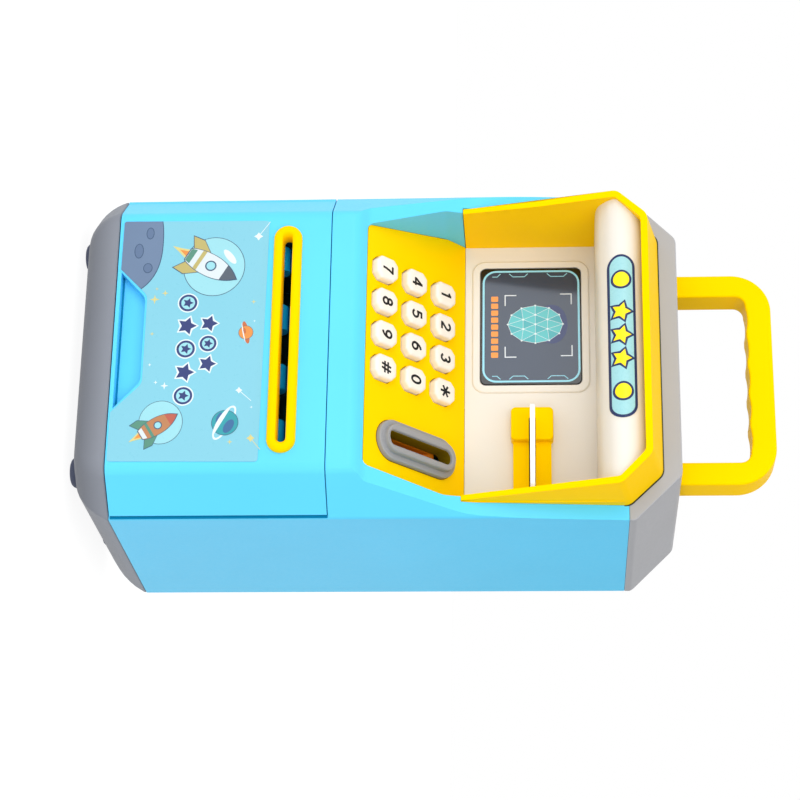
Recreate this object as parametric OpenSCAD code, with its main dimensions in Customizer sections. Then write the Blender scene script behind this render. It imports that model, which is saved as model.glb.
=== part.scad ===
// Toy cash-machine savings bank: a blue casing with a swing door for notes, a sloped
// keypad with a coin slot, a screen under a yellow hood, a card reader and a carry handle.
// Each piece is drawn from two datums, the body's bottom seam (z) and its middle plane (x, y),
// and then lifted so that the origin is under the middle of the whole bank.

/* [Body] */
// Width of the body
body_w = 130; // [126:1:140]
// Height of the blue body shell
body_h = 189.2; // [189:0.1:190]
// Wall thickness of the casing parts
wall = 2.4; // [1.8:0.1:2.6]
// Width taken by each chamfered front corner
cham_x = 13.65; // [12:0.05:15]
// Depth taken by each chamfered front corner
cham_y = 15.7; // [15:0.05:16]

/* [Door] */
// Height of the door
door_h = 80; // [79.5:0.1:80]
// Thickness of the door skin
door_t = 2.4; // [2:0.1:2.6]
// Half length of the note slot
note_half = 40.9; // [39:0.1:41.5]
// Height of the note slot
note_gap = 3; // [2.4:0.1:3.4]
// Height of the note slot's middle above the seam
note_z = 64; // [63.5:0.1:64.5]
// Gap at the door's free edge
edge_gap = 0.9; // [0.5:0.1:1.2]
// Depth of the finger notch at the foot of the door
notch_d = 4.6; // [4.2:0.1:5]

/* [Keypad] */
// Angle of the keypad slope
key_angle = 41.48; // [41:0.01:42]
// Spacing of the keys across
key_px = 13.25; // [13:0.05:13.5]
// Spacing of the keys up the slope
key_pt = 15.55; // [15:0.05:16]
// Key width
key_af = 9.6; // [9.2:0.1:10]
// Key length up the slope
key_al = 10.4; // [10:0.1:10.6]
// Height of a key above the panel
key_h = 3.2; // [2.8:0.1:3.6]

/* [Coin slot] */
// Width of the coin slot
coin_w = 5.5; // [5:0.1:5.8]
// Length of the coin slot
coin_l = 32.8; // [30:0.2:33.4]

/* [Handle] */
// Half width of the handle over its legs
handle_half = 43; // [42:0.05:44]
// Width of each handle leg
leg_w = 9; // [8.2:0.05:9.4]
// Height of the handle's top above the seam
handle_top = 245.5; // [240:0.5:246]

/* [Feet] */
// Radius of each foot
foot_r = 6; // [5:0.1:6.4]

/* [Hidden] */
$fn = 48;

hw = body_w / 2;        // half width of the body
yf = -55;               // front plane of the door and band
yr = 48.9;              // rear plane of the body
ys = -39.3;             // plane of the door's rear edges
yc = -36;               // front plane of the top cap
rear_r = 2.2;           // radius of the rear corners
lift = 16.3;            // height of the seam above the floor
mid = 4.7;              // middle of the bank from the y datum
hx = -61.4;             // hinge axis, x
hy = -39.5;             // hinge axis, y
ry = -44.5;             // roller axes, y
rz = 3.75;              // roller axes above and below the note slot
mz = 50.05;             // motor axis, z
my = -42;               // motor axis, y
blue = [0.40, 0.82, 0.95];
yellow = [1.0, 0.86, 0.05];
cream = [0.98, 0.95, 0.90];
grey = [0.66, 0.66, 0.67];
slate = [0.31, 0.33, 0.40];

module lifted() translate([0, mid, lift]) children();
module along_x(x0, x1) translate([x0, 0, 0]) rotate([90, 0, 90]) linear_extrude(x1 - x0) children();
module along_y(y0, y1) translate([0, y1, 0]) rotate([90, 0, 0]) linear_extrude(y1 - y0) children();
module block(x0, y0, z0, x1, y1, z1) translate([x0, y0, z0]) cube([x1 - x0, y1 - y0, z1 - z0]);
module rod_x(r, x0, x1, y, z) translate([x0, y, z]) rotate([0, 90, 0]) cylinder(h = x1 - x0, r = r);
module rod_y(r, y0, y1, x, z) translate([x, y1, z]) rotate([90, 0, 0]) cylinder(h = y1 - y0, r = r);
module rod_z(r, z0, z1, x, y) translate([x, y, z0]) cylinder(h = z1 - z0, r = r);
module slope() translate([0, -51, 93.3]) rotate([key_angle, 0, 0]) children();
module stadium(hl, r) union() { square([2 * (hl - r), 2 * r], center = true); for (s = [-1, 1]) translate([s * (hl - r), 0]) circle(r); }
module rrect(x0, y0, x1, y1, r) union() {
  translate([x0 + r, y0]) square([x1 - x0 - 2 * r, y1 - y0]);
  translate([x0, y0 + r]) square([x1 - x0, y1 - y0 - 2 * r]);
  for (x = [x0 + r, x1 - r], y = [y0 + r, y1 - r]) translate([x, y]) circle(r);
}
function arc(cx, cy, r, a0, a1, n) = [for (i = [0:n]) [cx + r * cos(a0 + (a1 - a0) * i / n), cy + r * sin(a0 + (a1 - a0) * i / n)]];
// offsets of the chamfer's two corners when the outline is inset by t
cl = sqrt(cham_x * cham_x + cham_y * cham_y);
ix = (1 - cham_x / cl) / (cham_y / cl);
iy = (1 - cham_y / cl) / (cham_x / cl);
function plan_pts(t, tr, r) = concat(
  arc(hw - t - r, yr - tr - r, r, 0, 90, 6),
  arc(-hw + t + r, yr - tr - r, r, 90, 180, 6),
  [[-hw + t, yf + cham_y + iy * t], [-hw + cham_x - ix * t, yf + t],
   [hw - cham_x + ix * t, yf + t], [hw - t, yf + cham_y + iy * t]]);
module plan(t) polygon(plan_pts(t, t, max(rear_r - t, 0.6)));

// front-view outline of the recess; the upper part is widened by e to take the hood's cheeks
module recess2d(e) polygon([[-48.1, 93.3], [48.1, 93.3], [57.3, 122], [57.3, 128.4], [57.3 + e, 128.4],
  [57.3 + e, 190], [-57.3 - e, 190], [-57.3 - e, 128.4], [-57.3, 128.4], [-57.3, 122]]);
module notch2d(m) polygon([[-29.35 - m, -1], [29.35 + m, -1], [29.35 + m, 0.6], [28 + m, 2], [18.4 + m, 10.2 + m], [16.2 + m, 11.4 + m],
  [-16.2 - m, 11.4 + m], [-18.4 - m, 10.2 + m], [-28 - m, 2], [-29.35 - m, 0.6]]);

// ---------------------------------------------------------------- casing
module body_shell() color(blue) lifted() {
  difference() {
    union() {
      difference() {
        linear_extrude(body_h) plan(0);
        translate([0, 0, -1]) linear_extrude(body_h + 2) plan(wall);
        along_x(-80, 80) polygon([[-70, 90], [-55, 90], [-54.4, 92], [-52.9, 93.4], [-51, 93.9], [-42, 125.3], [-40.8, 130.2], [-40.1, 136], [yc, body_h], [yc + 0.8, 200], [-70, 200]]);
      }
      // rim plate round the recess
      intersection() {
        linear_extrude(body_h) plan(0.05);
        along_x(-80, 80) polygon([[-55, 81], [-55, 90], [-54.4, 92], [-52.9, 93.4], [-51, 93.9], [-42, 125.3], [-40.8, 130.2], [-40.1, 136], [yc, body_h],
          [yc + wall, body_h], [-37.7, 136], [-38.4, 130.4], [-39.5, 125.3], [-48.5, 91.5], [-52.6, 90], [-52.6, 81]]);
      }
      // cheeks of the recess beside the keypad
      intersection() {
        linear_extrude(body_h) plan(1);
        difference() {
          along_y(-52, -9.5) polygon([[-59.4, 128.3], [-59.4, 121.7], [-50.1, 91.8], [50.1, 91.8], [59.4, 121.7], [59.4, 128.3]]);
          along_x(-80, 80) polygon([[-53, 90], [-51.01, 93.91], [-42.01, 125.31], [-41.3, 128.4], [-41.3, 140], [-60, 140], [-60, 90]]);
          along_x(-48.1, 48.1) polygon([[-49, 80], [-49, 93.35], [0, 93.35], [0, 80]]);
        }
      }
      // boss of the upper hinge pin
      intersection() { linear_extrude(body_h) plan(1); block(-64, -43, 80.4, -57.6, -35, 90); }
      // screw bosses of the rear cover
      for (s = [-1, 1], z = [14, 176]) { rod_y(4, 26, 46.4, s * 50, z); block(s > 0 ? 52 : -63.5, 26, z - 1.2, s > 0 ? 63.5 : -52, 46.4, z + 1.2); }
    }
    along_y(-80, 10) recess2d(2.05);
    // door opening; the left edge is set back round the hinge barrel
    block(-80, -80, -1, 80, ys, 80.4);
    block(-80, -80, -1, -57, hy + 3.4, 80.4);
    // seat of the keypad panel
    slope() translate([0, 0, -wall - 0.15]) linear_extrude(wall + 0.3) polygon([[-45.7, 0.2], [45.7, 0.2], [47.8, 1.2], [48.95, 3.5], [57.28, 43.1], [57.28, 53.1], [-57.28, 53.1], [-57.28, 43.1], [-48.95, 3.5], [-47.8, 1.2]]);
    // rear opening
    along_y(44, 60) rrect(-56.4, 5.6, 56.4, 183.4, 4);
    rod_z(1.52, 70, 88, hx, hy);
    for (s = [-1, 1], z = [14, 176]) rod_y(1.3, 30, 50, s * 50, z);
  }
}

module rear_cover() color(blue) lifted() difference() {
  union() {
    along_y(46.5, yr) rrect(-56, 6, 56, 183, 3.7);
    // ribs that find the inside of the rear opening
    for (s = [-1, 1]) block(s * 41 - 1, 43.5, 30, s * 41 + 1, 46.6, 160);
  }
  for (s = [-1, 1], z = [14, 176]) { rod_y(1.5, 40, 60, s * 50, z); rod_y(3.1, 47.3, 60, s * 50, z); }
  // battery opening
  along_y(40, 60) rrect(-26.5, 9.5, 26.5, 65.5, 2);
  // speaker grille
  for (a = [0:60:300]) for (q = [5, 10]) rod_y(1.3, 40, 60, q * cos(a + q * 6), 140 + q * sin(a + q * 6));
  rod_y(1.3, 40, 60, 0, 140);
  // clearance round the power switch, and its slot
  block(32.6, 42, 81.6, 47.4, 46.45, 92.4);
  block(35.4, 40, 84.9, 44.6, 60, 89.1);
}

module case_screws() color("silver") lifted() for (s = [-1, 1], z = [14, 176]) difference() {
  union() { rod_y(1.25, 34, 48, s * 50, z); rod_y(2.9, 47.35, 48.6, s * 50, z); }
  for (r = [0, 90]) translate([s * 50, 48.6, z]) rotate([0, r, 0]) cube([3.4, 1.2, 0.7], center = true);
}

module top_cap() color(grey) lifted() difference() {
  along_y(yc, yr) polygon([[-hw, body_h], [hw, body_h], [hw, 190.9], [64.4, 192.1], [49, 207.5], [46.6, 208.8], [-46.6, 208.8], [-49, 207.5], [-64.4, 192.1], [-hw, 190.9]]);
  along_y(yc + wall, yr - wall) polygon([[-hw + wall, body_h - 1], [hw - wall, body_h - 1], [hw - wall, 190.2], [62, 191.1], [47.8, 205.3], [45.8, 206.4], [-45.8, 206.4], [-47.8, 205.3], [-62, 191.1], [-hw + wall, 190.2]]);
  for (s = [-1, 1]) translate([s * (handle_half - leg_w / 2), -6.7, 200]) cube([leg_w + 0.02, 12.62, 30], center = true);
  // rear vertical corners
  for (s = [-1, 1]) translate([s * (hw - rear_r), yr - rear_r, 180]) difference() { block(s > 0 ? 0 : -20, 0, 0, s > 0 ? 20 : 0, 20, 40); translate([0, 0, -1]) cylinder(r = rear_r, h = 50); }
}

// outline of the base inset by ts at the sides, tf at the front and tr at the rear
function base_pts(ts, tf, tr, r) = let (tc = (ts + tf) / 2, cy = yf + cham_y + (tc * cl - cham_y * ts) / cham_x, cx = hw - cham_x - (tc * cl - cham_x * tf) / cham_y) concat(
  arc(hw - ts - r, yr - tr - r, r, 0, 90, 6),
  arc(-hw + ts + r, yr - tr - r, r, 90, 180, 6),
  [[-hw + ts, cy], [-cx, yf + tf], [cx, yf + tf], [hw - ts, cy]]);
module base_slab(z, ts, tf, tr) translate([0, 0, z]) linear_extrude(0.02) polygon(base_pts(ts, tf, tr, rear_r + tr * 1.1));
module base_tray() color([0.52, 0.54, 0.57]) lifted() difference() {
  hull() {
    base_slab(-0.02, 0, 0, 0); base_slab(-2.4, 1, 0.1, 0.3); base_slab(-4.4, 2.1, 0.5, 0.8); base_slab(-6.5, 3.6, 1.3, 1.5); base_slab(-8.6, 5.5, 2.5, 2.5);
    base_slab(-10, 7.2, 3.7, 3.4); base_slab(-11.6, 9.6, 5.8, 4.7); base_slab(-12.5, 11.6, 7.6, 5.8); base_slab(-13.3, 15, 10.4, 7.6);
  }
  block(-52, -40, -10.9, 52, 42, 1);
  rod_z(1.52, -2.8, 1, hx, hy);
}

module feet() color(slate) lifted() for (x = [-44, 44], y = [-33, 33]) translate([x, y, -16.3])
  rotate_extrude() polygon([[0, 0], [3.4, 0], [4.9, 0.5], [5.8, 1.3], [foot_r, 2.2], [foot_r, 3], [0, 3]]);

// outline of a key, grown by e, with its corners cut by c
function key_pts(e, c) = let (a = key_af / 2 + e, b = key_al / 2 + e) [[a, c - b], [a, b - c], [a - c, b], [c - a, b], [-a, b - c], [-a, c - b], [c - a, -b], [a - c, -b]];
module key_slab(e, c, n0, n1) translate([0, 0, n0]) linear_extrude(n1 - n0) polygon(key_pts(e, c));
function kx(i) = -31.3 + key_px * i;
function kt(j) = 39.25 - key_pt * j;

module keypad_panel() color(yellow) lifted() slope() difference() {
  translate([0, 0, -wall]) linear_extrude(wall) polygon([[-45.5, 0.4], [45.5, 0.4], [47.6, 1.4], [48.75, 3.6], [57.2, 43.3], [57.2, 52.9], [-57.2, 52.9], [-57.2, 43.3], [-48.75, 3.6], [-47.6, 1.4]]);
  for (i = [0:3], j = [0:2]) translate([kx(i), kt(j), 0]) key_slab(0.35, 2.3, -5, 5);
  translate([35.5, 26.7, -6]) linear_extrude(12) rotate(90) stadium(18.6, 4.8);
}

module coin_bezel() color([0.60, 0.60, 0.61]) lifted() slope() translate([35.5, 26.7, 0]) difference() {
  union() {
    linear_extrude(1.9) rotate(90) stadium(19.9, 7.8);
    translate([0, 0, 1.8]) linear_extrude(2.6) rotate(90) stadium(18.4, 6.3);
    translate([0, 0, -2.4]) linear_extrude(2.6) rotate(90) stadium(18.4, 4.7);
  }
  translate([0, -0.8, -5]) linear_extrude(12) rotate(90) stadium(coin_l / 2, coin_w / 2);
}

module coin_chute() color([0.95, 0.66, 0.10]) lifted() difference() {
  along_x(31.2, 39.8) polygon([[-46.0, 88.6], [-46.0, 93.0], [-18.4, 117.3], [-18.4, 92.6], [-8, 79.2], [-34.6, 79.2], [-34.6, 82.6]]);
  along_x(32.8, 38.2) polygon([[-44.5, 90], [-44.5, 140], [-19.9, 140], [-19.9, 92], [-9.8, 79], [-33, 79], [-33, 84]]);
}

module fascia() color(cream) lifted() difference() {
  union() {
    along_y(-11.3, -8.9) polygon([[-56.95, 128.6], [56.95, 128.6], [56.95, 178.4], [-56.95, 178.4]]);
    along_y(-12.1, -11.2) rrect(-50.6, 131.3, 4.6, 176.2, 4.5);
  }
  along_y(-12.6, -10.6) rrect(-47.6, 134.3, 1.6, 173.2, 2.2);
  along_y(-14, -5) rrect(-45.6, 136.4, -0.4, 171.1, 1.5);
  block(16.05, -20, 151.65, 53.95, 0, 157.15);
}

module screen_lens() color([0.05, 0.06, 0.08]) lifted() along_y(-12.3, -10.65) rrect(-47.5, 134.4, 1.5, 173.1, 2);
module display_panel() color([0.2, 0.25, 0.3]) lifted() { along_y(-8.6, -4.5) rrect(-47, 134, 1, 173.4, 1.5); along_y(-10.5, -8.5) rrect(-45.2, 136.8, -0.8, 170.7, 1); }

// front profile of the header bar, from its top edge down and back to the fascia
header_pts = [[-49, 195.6], [-52.6, 193.5], [-54.2, 190.5], [-54.5, 187.5], [-53.4, 185.2], [-51.3, 183.2], [-48.7, 181.2], [-45.2, 179.5], [-39.8, 178.7], [-11.3, 178.5]];
header_in = [[-11.3, 180.6], [-39.6, 180.9], [-44.4, 181.7], [-47.4, 183.2], [-49.8, 185], [-51.7, 186.8], [-52.2, 187.9], [-51.9, 189.8], [-50.6, 192], [-48, 193.4]];
module hood_in() {
  hull() {
    along_y(-39.32, -39.3) polygon([[-57, 128.4], [57, 128.4], [57, 187.8], [46, 199.2], [-46, 199.2], [-57, 187.8]]);
    along_y(-58.4, -58.38) polygon([[-54.2, 128.4], [54.2, 128.4], [55.3, 185.4], [46.2, 194.8], [-46.2, 194.8], [-55.3, 185.4]]);
  }
  along_y(-39.31, yc + 0.1) polygon([[-57, 128.4], [57, 128.4], [57, 187.8], [46, 199.2], [-46, 199.2], [-57, 187.8]]);
}
module header_bar() color(cream) lifted() {
  intersection() { along_x(-60, 60) polygon(concat(header_pts, header_in)); union() { hood_in(); block(-56.95, -39.32, 170, 56.95, 0, 187); } }
  intersection() { along_x(-60, 60) polygon([[-49, 195.6], [-39.4, 199], [yc, 199.1], [yc, 196.8], [-39.4, 196.6], [-48, 193.4]]); hood_in(); }
}

module header_badge() color([0.60, 0.83, 0.87]) lifted() intersection() {
  along_x(-33, 33) polygon([[-53.4, 194.2], [-54.95, 190.6], [-55.25, 187.5], [-54.1, 184.8], [-52.0, 182.7], [-50, 181.2], [-50.4, 182.3], [-51.4, 183.08], [-53.45, 185.1], [-54.52, 187.5], [-54.22, 190.5], [-52.7, 193.4]]);
  along_y(-60, -48) translate([0, 187.4]) stadium(32.4, 5.1);
}

module hood() color(yellow) lifted() {
  difference() {
    hull() {
      along_y(yc - 0.02, yc) polygon([[-59.3, 128.6], [59.3, 128.6], [59.3, 189.4], [47.4, 201.8], [-47.4, 201.8], [-59.3, 189.4]]);
      along_y(-58.3, -58.28) polygon([[-56.6, 128.6], [56.6, 128.6], [58, 186], [47.3, 197.4], [-47.3, 197.4], [-58, 186]]);
    }
    hood_in();
    along_x(-70, 70) polygon([[-41.1, 128], [-56.6, 186.5], [-58.31, 197.4], [-58.31, 210], [-80, 210], [-80, 120], [-41.1, 120]]);
  }
  for (s = [-1, 1]) block(s > 0 ? 57 : -59.3, ys, 128.6, s > 0 ? 59.3 : -57, -8.9, 187.4);
}

module card_reader() color([1.0, 0.78, 0.05]) lifted() difference() {
  union() {
    along_y(-17.2, -11.3) rrect(12.7, 146.1, 26, 162.1, 1.5);
    block(25.5, -14.6, 146.9, 54.6, -11.3, 161.3);
    // card guide behind the fascia
    block(16.1, -11.4, 151.7, 53.9, 34, 157.1);
  }
  block(17.2, -60, 152.9, 52.8, 32.6, 155.9);
}
module bank_card() color([0.97, 0.97, 0.96]) lifted() translate([0, 0, 153.5]) linear_extrude(1.8) rrect(17.6, -32, 52.4, 24, 3);

module handle() color(yellow) lifted() along_y(-13, -0.4) difference() {
  rrect(-handle_half, 170, handle_half, handle_top, 15);
  rrect(-handle_half + leg_w, 160, handle_half - leg_w, 235.8, 4);
  translate([-60, 150]) square([120, 52.4]);
  // finger scallops under the grip
  for (i = [-2:2]) translate([i * 12.3, 215.4]) circle(21);
}

// ---------------------------------------------------------------- inside the casing
module key_membrane() color([0.85, 0.85, 0.85]) lifted() slope() {
  translate([0, 0, -9]) linear_extrude(0.8) rrect(-37.5, 0.5, 16, 46, 2);
  for (i = [0:3], j = [0:2]) translate([kx(i), kt(j), -8.2]) rotate_extrude() polygon([[0, 0], [3.6, 0], [2.4, 0.5], [0, 0.5]]);
}
module keypad_board() color([0.10, 0.42, 0.25]) lifted() slope() translate([0, 0, -10.6]) linear_extrude(1.6) rrect(-38.5, -0.5, 17, 47, 1);
module main_board() color([0.10, 0.42, 0.25]) lifted() {
  along_y(-3.4, -1.8) rrect(-52, 132, 12, 176, 1);
  for (p = [[-40, 150, 10, 8], [-20, 160, 6, 6], [-5, 142, 8, 5], [-30, 138, 4, 4]]) block(p[0], -1.81, p[1], p[0] + p[2], 0.4, p[1] + p[3]);
}
module speaker() color([0.2, 0.2, 0.2]) lifted() { rod_y(18, 43.4, 46.4, 0, 140); rod_y(14, 39, 43.5, 0, 140); rod_y(8, 35.5, 39.1, 0, 140); }
module battery_box() color([0.2, 0.2, 0.22]) lifted() difference() {
  block(-28.4, 28, 7.2, 28.4, 46.4, 67.8);
  block(-26.4, 30, 9.4, 26.4, 60, 65.6);
}
module batteries() color([0.45, 0.55, 0.35]) lifted() for (x = [-17, 0, 17]) { rod_z(7.2, 13, 62, x, 38.2); rod_z(2.7, 61.9, 63.4, x, 38.2); }
module lock_solenoid() color([0.7, 0.5, 0.3]) lifted() { block(50.6, -27, 22.6, 61.6, -5, 35.4); rod_y(2, -29.4, -26.9, 59, 29); }
module latch_guide() color([0.2, 0.2, 0.22]) lifted() difference() {
  block(56.6, -38, 24, 62.55, -29.6, 34);
  block(50, -35.6, 26.7, 70, -31.4, 31.3);
}
module latch_bolt() color("silver") lifted() block(55.4, -35.3, 27, 61.4, -31.7, 31);
module hinge_pins() color("silver") lifted() { rod_z(1.5, -2.6, 8, hx, hy); rod_z(1.5, 72, 87.5, hx, hy); }
module cash_bin() color([0.45, 0.75, 0.82]) lifted() difference() {
  block(-55, -35, 0.6, 48, 22, 79);
  block(-53.4, -40, 2.2, 46.4, 20.4, 77.4);
  block(33.5, -33, 70, 39.1, -9.8, 90);
}
module power_switch() color([0.15, 0.15, 0.15]) lifted() block(33, 39.5, 82, 47, 45.6, 92);
module switch_knob() color([0.1, 0.1, 0.1]) lifted() { block(35.8, 45.9, 85.2, 40.4, 48.7, 88.8); }
module battery_cover() color(blue) lifted() {
  difference() {
    along_y(47.0, yr) rrect(-26.2, 9.8, 26.2, 65.2, 1.8);
    rod_y(1.5, 40, 60, 0, 61);
    rod_y(3.1, 47.9, 60, 0, 61);
    for (i = [0:3]) block(-8, 48.3, 14 + i * 2.4, 8, 50, 15 + i * 2.4);
  }
}
module battery_screw() color("silver") lifted() difference() {
  union() { rod_y(1.25, 47.0, 48.2, 0, 61); rod_y(2.9, 47.95, 48.7, 0, 61); }
  for (r = [0, 90]) translate([0, 48.7, 61]) rotate([0, r, 0]) cube([3.4, 0.8, 0.7], center = true);
}

// ---------------------------------------------------------------- door
module front_door() color(blue) lifted() difference() {
  union() {
    translate([0, 0, 0.4]) linear_extrude(door_h - 0.4) {
      polygon([[hw - door_t - cham_x * (edge_gap + iy * door_t) / cham_y, ys - edge_gap], [hw - cham_x - ix * door_t, yf + door_t], [-hw + cham_x + ix * door_t, yf + door_t],
        [hx, hy], [-63.35, -41.2], [-hw + cham_x, yf], [hw - cham_x, yf], [hw - cham_x * edge_gap / cham_y, ys - edge_gap]]);
      translate([hx, hy]) circle(3);
    }
    // stiffening flanges at the top and the foot
    for (z = [0.4, 77.6]) translate([0, 0, z]) linear_extrude(2.4) polygon([[-50.3, -52.7], [50.3, -52.7], [57, -45], [-44, -45]]);
    // scoop behind the finger notch
    translate([0, 0, 0.4]) intersection() { along_y(-52.7, -48.8) notch2d(1.8); block(-40, -60, 0, 40, -40, 30); }
  }
  along_y(-60, yf + notch_d) notch2d(0);
  along_y(-70, -50) translate([0, note_z]) stadium(note_half + 2.4, note_gap / 2 + 2.4);
  rod_z(1.55, -1, 10.4, hx, hy);
  rod_z(1.55, 70, 90, hx, hy);
}
module note_bezel() color(yellow) lifted() difference() {
  union() {
    along_y(-56.3, yf) translate([0, note_z]) stadium(45.4, 5.3);
    along_y(-57.4, -56.2) translate([0, note_z]) stadium(44.4, 4.4);
    along_y(-55.1, -51.2) translate([0, note_z]) stadium(note_half + 2.3, note_gap / 2 + 2.3);
  }
  along_y(-60, -50) translate([0, note_z]) stadium(note_half, note_gap / 2);
}
module door_label() color([0.58, 0.85, 0.93]) lifted() difference() {
  along_y(-55.25, yf) rrect(-48.3, 1.1, 48.6, 56.7, 1.5);
  along_y(-60, -50) notch2d(0.3);
}
module roller_frame() color([0.2, 0.45, 0.5]) lifted() difference() {
  union() {
    for (s = [-1, 1]) block(s * 45.6 - 1, -52.6, 43, s * 45.6 + 1, -37.4, 73);
    block(-45, -40.4, 71, 45, -37.4, 73);
    block(-45, -52.6, 41.2, 46.6, -37.4, 43.2);
  }
  for (s = [-1, 1]) rod_x(1.25, -60, 60, ry, note_z + s * rz);
  rod_x(2.4, 40, 60, my, mz);
  // finger of clearance round the scoop of the note path
  block(-44, -60, note_z - 2.5, 44, -30, note_z + 2.5);
}
module gear2d(n, m) difference() {
  union() {
    circle(m * n / 2 - 0.62);
    for (i = [0:n - 1]) rotate(360 * i / n) polygon([[m * n / 2 - 1.1, -0.62], [m * n / 2 - 0.1, -0.5], [m * n / 2 + 0.55, -0.26], [m * n / 2 + 0.55, 0.26], [m * n / 2 - 0.1, 0.5], [m * n / 2 - 1.1, 0.62]]);
  }
}
module roller_motor() color("silver") lifted() { rod_x(6.5, 24, 44.5, my, mz); rod_x(2.3, 44.4, 46.2, my, mz); rod_x(1, 46.1, 47.0, my, mz); }
module door_keeper() color([0.2, 0.2, 0.22]) lifted() difference() {
  translate([0, 0, 24]) linear_extrude(10) polygon([[52, -50.55], [54, -48.25], [54, -30], [52, -30]]);
  block(50, -36, 26.2, 60, -31, 31.8);
}
module drive_roller() color([0.12, 0.12, 0.13]) lifted() { rod_x(1.2, -47.5, 51, ry, note_z - rz); for (x = [-36, -12, 12, 34]) difference() { rod_x(3.6, x - 5, x + 5, ry, note_z - rz); rod_x(1.1, x - 6, x + 6, ry, note_z - rz); } }
module roller_gear() color([0.9, 0.9, 0.88]) lifted() translate([47.6, ry, note_z - rz]) rotate([90, 0, 90]) difference() { linear_extrude(2.8) rotate(gear_turn) gear2d(20, 0.7); translate([0, 0, -1]) cylinder(r = 1.22, h = 5); }
module idler_roller() color([0.12, 0.12, 0.13]) lifted() { rod_x(1.2, -47.5, 46.9, ry, note_z + rz); for (x = [-36, -12, 12, 34]) difference() { rod_x(3.6, x - 5, x + 5, ry, note_z + rz); rod_x(1.1, x - 6, x + 6, ry, note_z + rz); } }
// the line between the two gears' centres, seen along x
mesh_a = atan2(mz - (note_z - rz), my - ry);
gear_turn = mesh_a;
module motor_pinion() color([0.9, 0.9, 0.88]) lifted() translate([47.6, my, mz]) rotate([90, 0, 90]) linear_extrude(2.8) rotate(mesh_a + 180 + 18) gear2d(10, 0.7);

// ---------------------------------------------------------------- keys
module key(i, j) color(cream) lifted() slope() translate([kx(i), kt(j), 0]) {
  key_slab(0, 2.2, -3.3, key_h - 0.8);
  hull() { key_slab(0, 2.2, key_h - 0.83, key_h - 0.8); key_slab(-0.9, 1.7, key_h - 0.03, key_h); }
  key_slab(1.1, 2.4, -4.2, -3.2);
  translate([0, 0, -6]) cylinder(r = 2, h = 2);
}
module key_1() key(0, 0);
module key_2() key(1, 0);
module key_3() key(2, 0);
module key_star() key(3, 0);
module key_4() key(0, 1);
module key_5() key(1, 1);
module key_6() key(2, 1);
module key_0() key(3, 1);
module key_7() key(0, 2);
module key_8() key(1, 2);
module key_9() key(2, 2);
module key_hash() key(3, 2);

body_shell();
rear_cover();
case_screws();
top_cap();
base_tray();
feet();
keypad_panel();
coin_bezel();
coin_chute();
fascia();
screen_lens();
display_panel();
header_bar();
header_badge();
hood();
card_reader();
handle();
key_membrane();
keypad_board();
main_board();
speaker();
battery_box();
batteries();
lock_solenoid();
latch_guide();
hinge_pins();
cash_bin();
power_switch();
front_door();
note_bezel();
door_label();
roller_frame();
roller_motor();
door_keeper();
drive_roller();
roller_gear();
idler_roller();
motor_pinion();
key_1();
key_2();
key_3();
key_star();
key_4();
key_5();
key_6();
key_0();
key_7();
key_8();
key_9();
key_hash();
bank_card();
latch_bolt();
battery_cover();
battery_screw();
switch_knob();
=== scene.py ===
import math, random
import bpy, bmesh
import numpy as np
from mathutils import Vector, Matrix


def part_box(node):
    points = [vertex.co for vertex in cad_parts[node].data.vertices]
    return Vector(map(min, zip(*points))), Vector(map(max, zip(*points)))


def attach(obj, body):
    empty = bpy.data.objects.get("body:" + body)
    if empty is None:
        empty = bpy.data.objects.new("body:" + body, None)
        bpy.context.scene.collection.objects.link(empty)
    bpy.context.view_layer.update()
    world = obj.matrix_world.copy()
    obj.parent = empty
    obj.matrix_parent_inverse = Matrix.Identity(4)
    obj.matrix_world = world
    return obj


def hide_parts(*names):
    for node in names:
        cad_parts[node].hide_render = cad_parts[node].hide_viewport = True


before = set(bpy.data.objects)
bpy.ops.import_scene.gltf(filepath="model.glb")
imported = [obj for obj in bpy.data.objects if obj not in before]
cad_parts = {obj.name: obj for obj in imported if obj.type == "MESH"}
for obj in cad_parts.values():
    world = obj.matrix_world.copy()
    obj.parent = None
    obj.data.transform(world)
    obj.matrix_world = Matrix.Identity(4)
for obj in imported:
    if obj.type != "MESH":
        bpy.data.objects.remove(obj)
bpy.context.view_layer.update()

# ------------------------------------------------------------------ datum
# Sizes below are millimetres from two datums: the seam under the body (z) and the body's middle plane (x, y).
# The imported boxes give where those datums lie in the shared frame.
MM = 0.001
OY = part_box("note_bezel")[0].y / MM + 57.4          # front of the note bezel is y = -57.4
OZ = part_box("top_cap")[0].z / MM - 189.2            # foot of the cap is z = 189.2

def M(p):
    return Vector((p[0] * MM, (p[1] + OY) * MM, (p[2] + OZ) * MM))

rng = random.Random(7)

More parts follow.
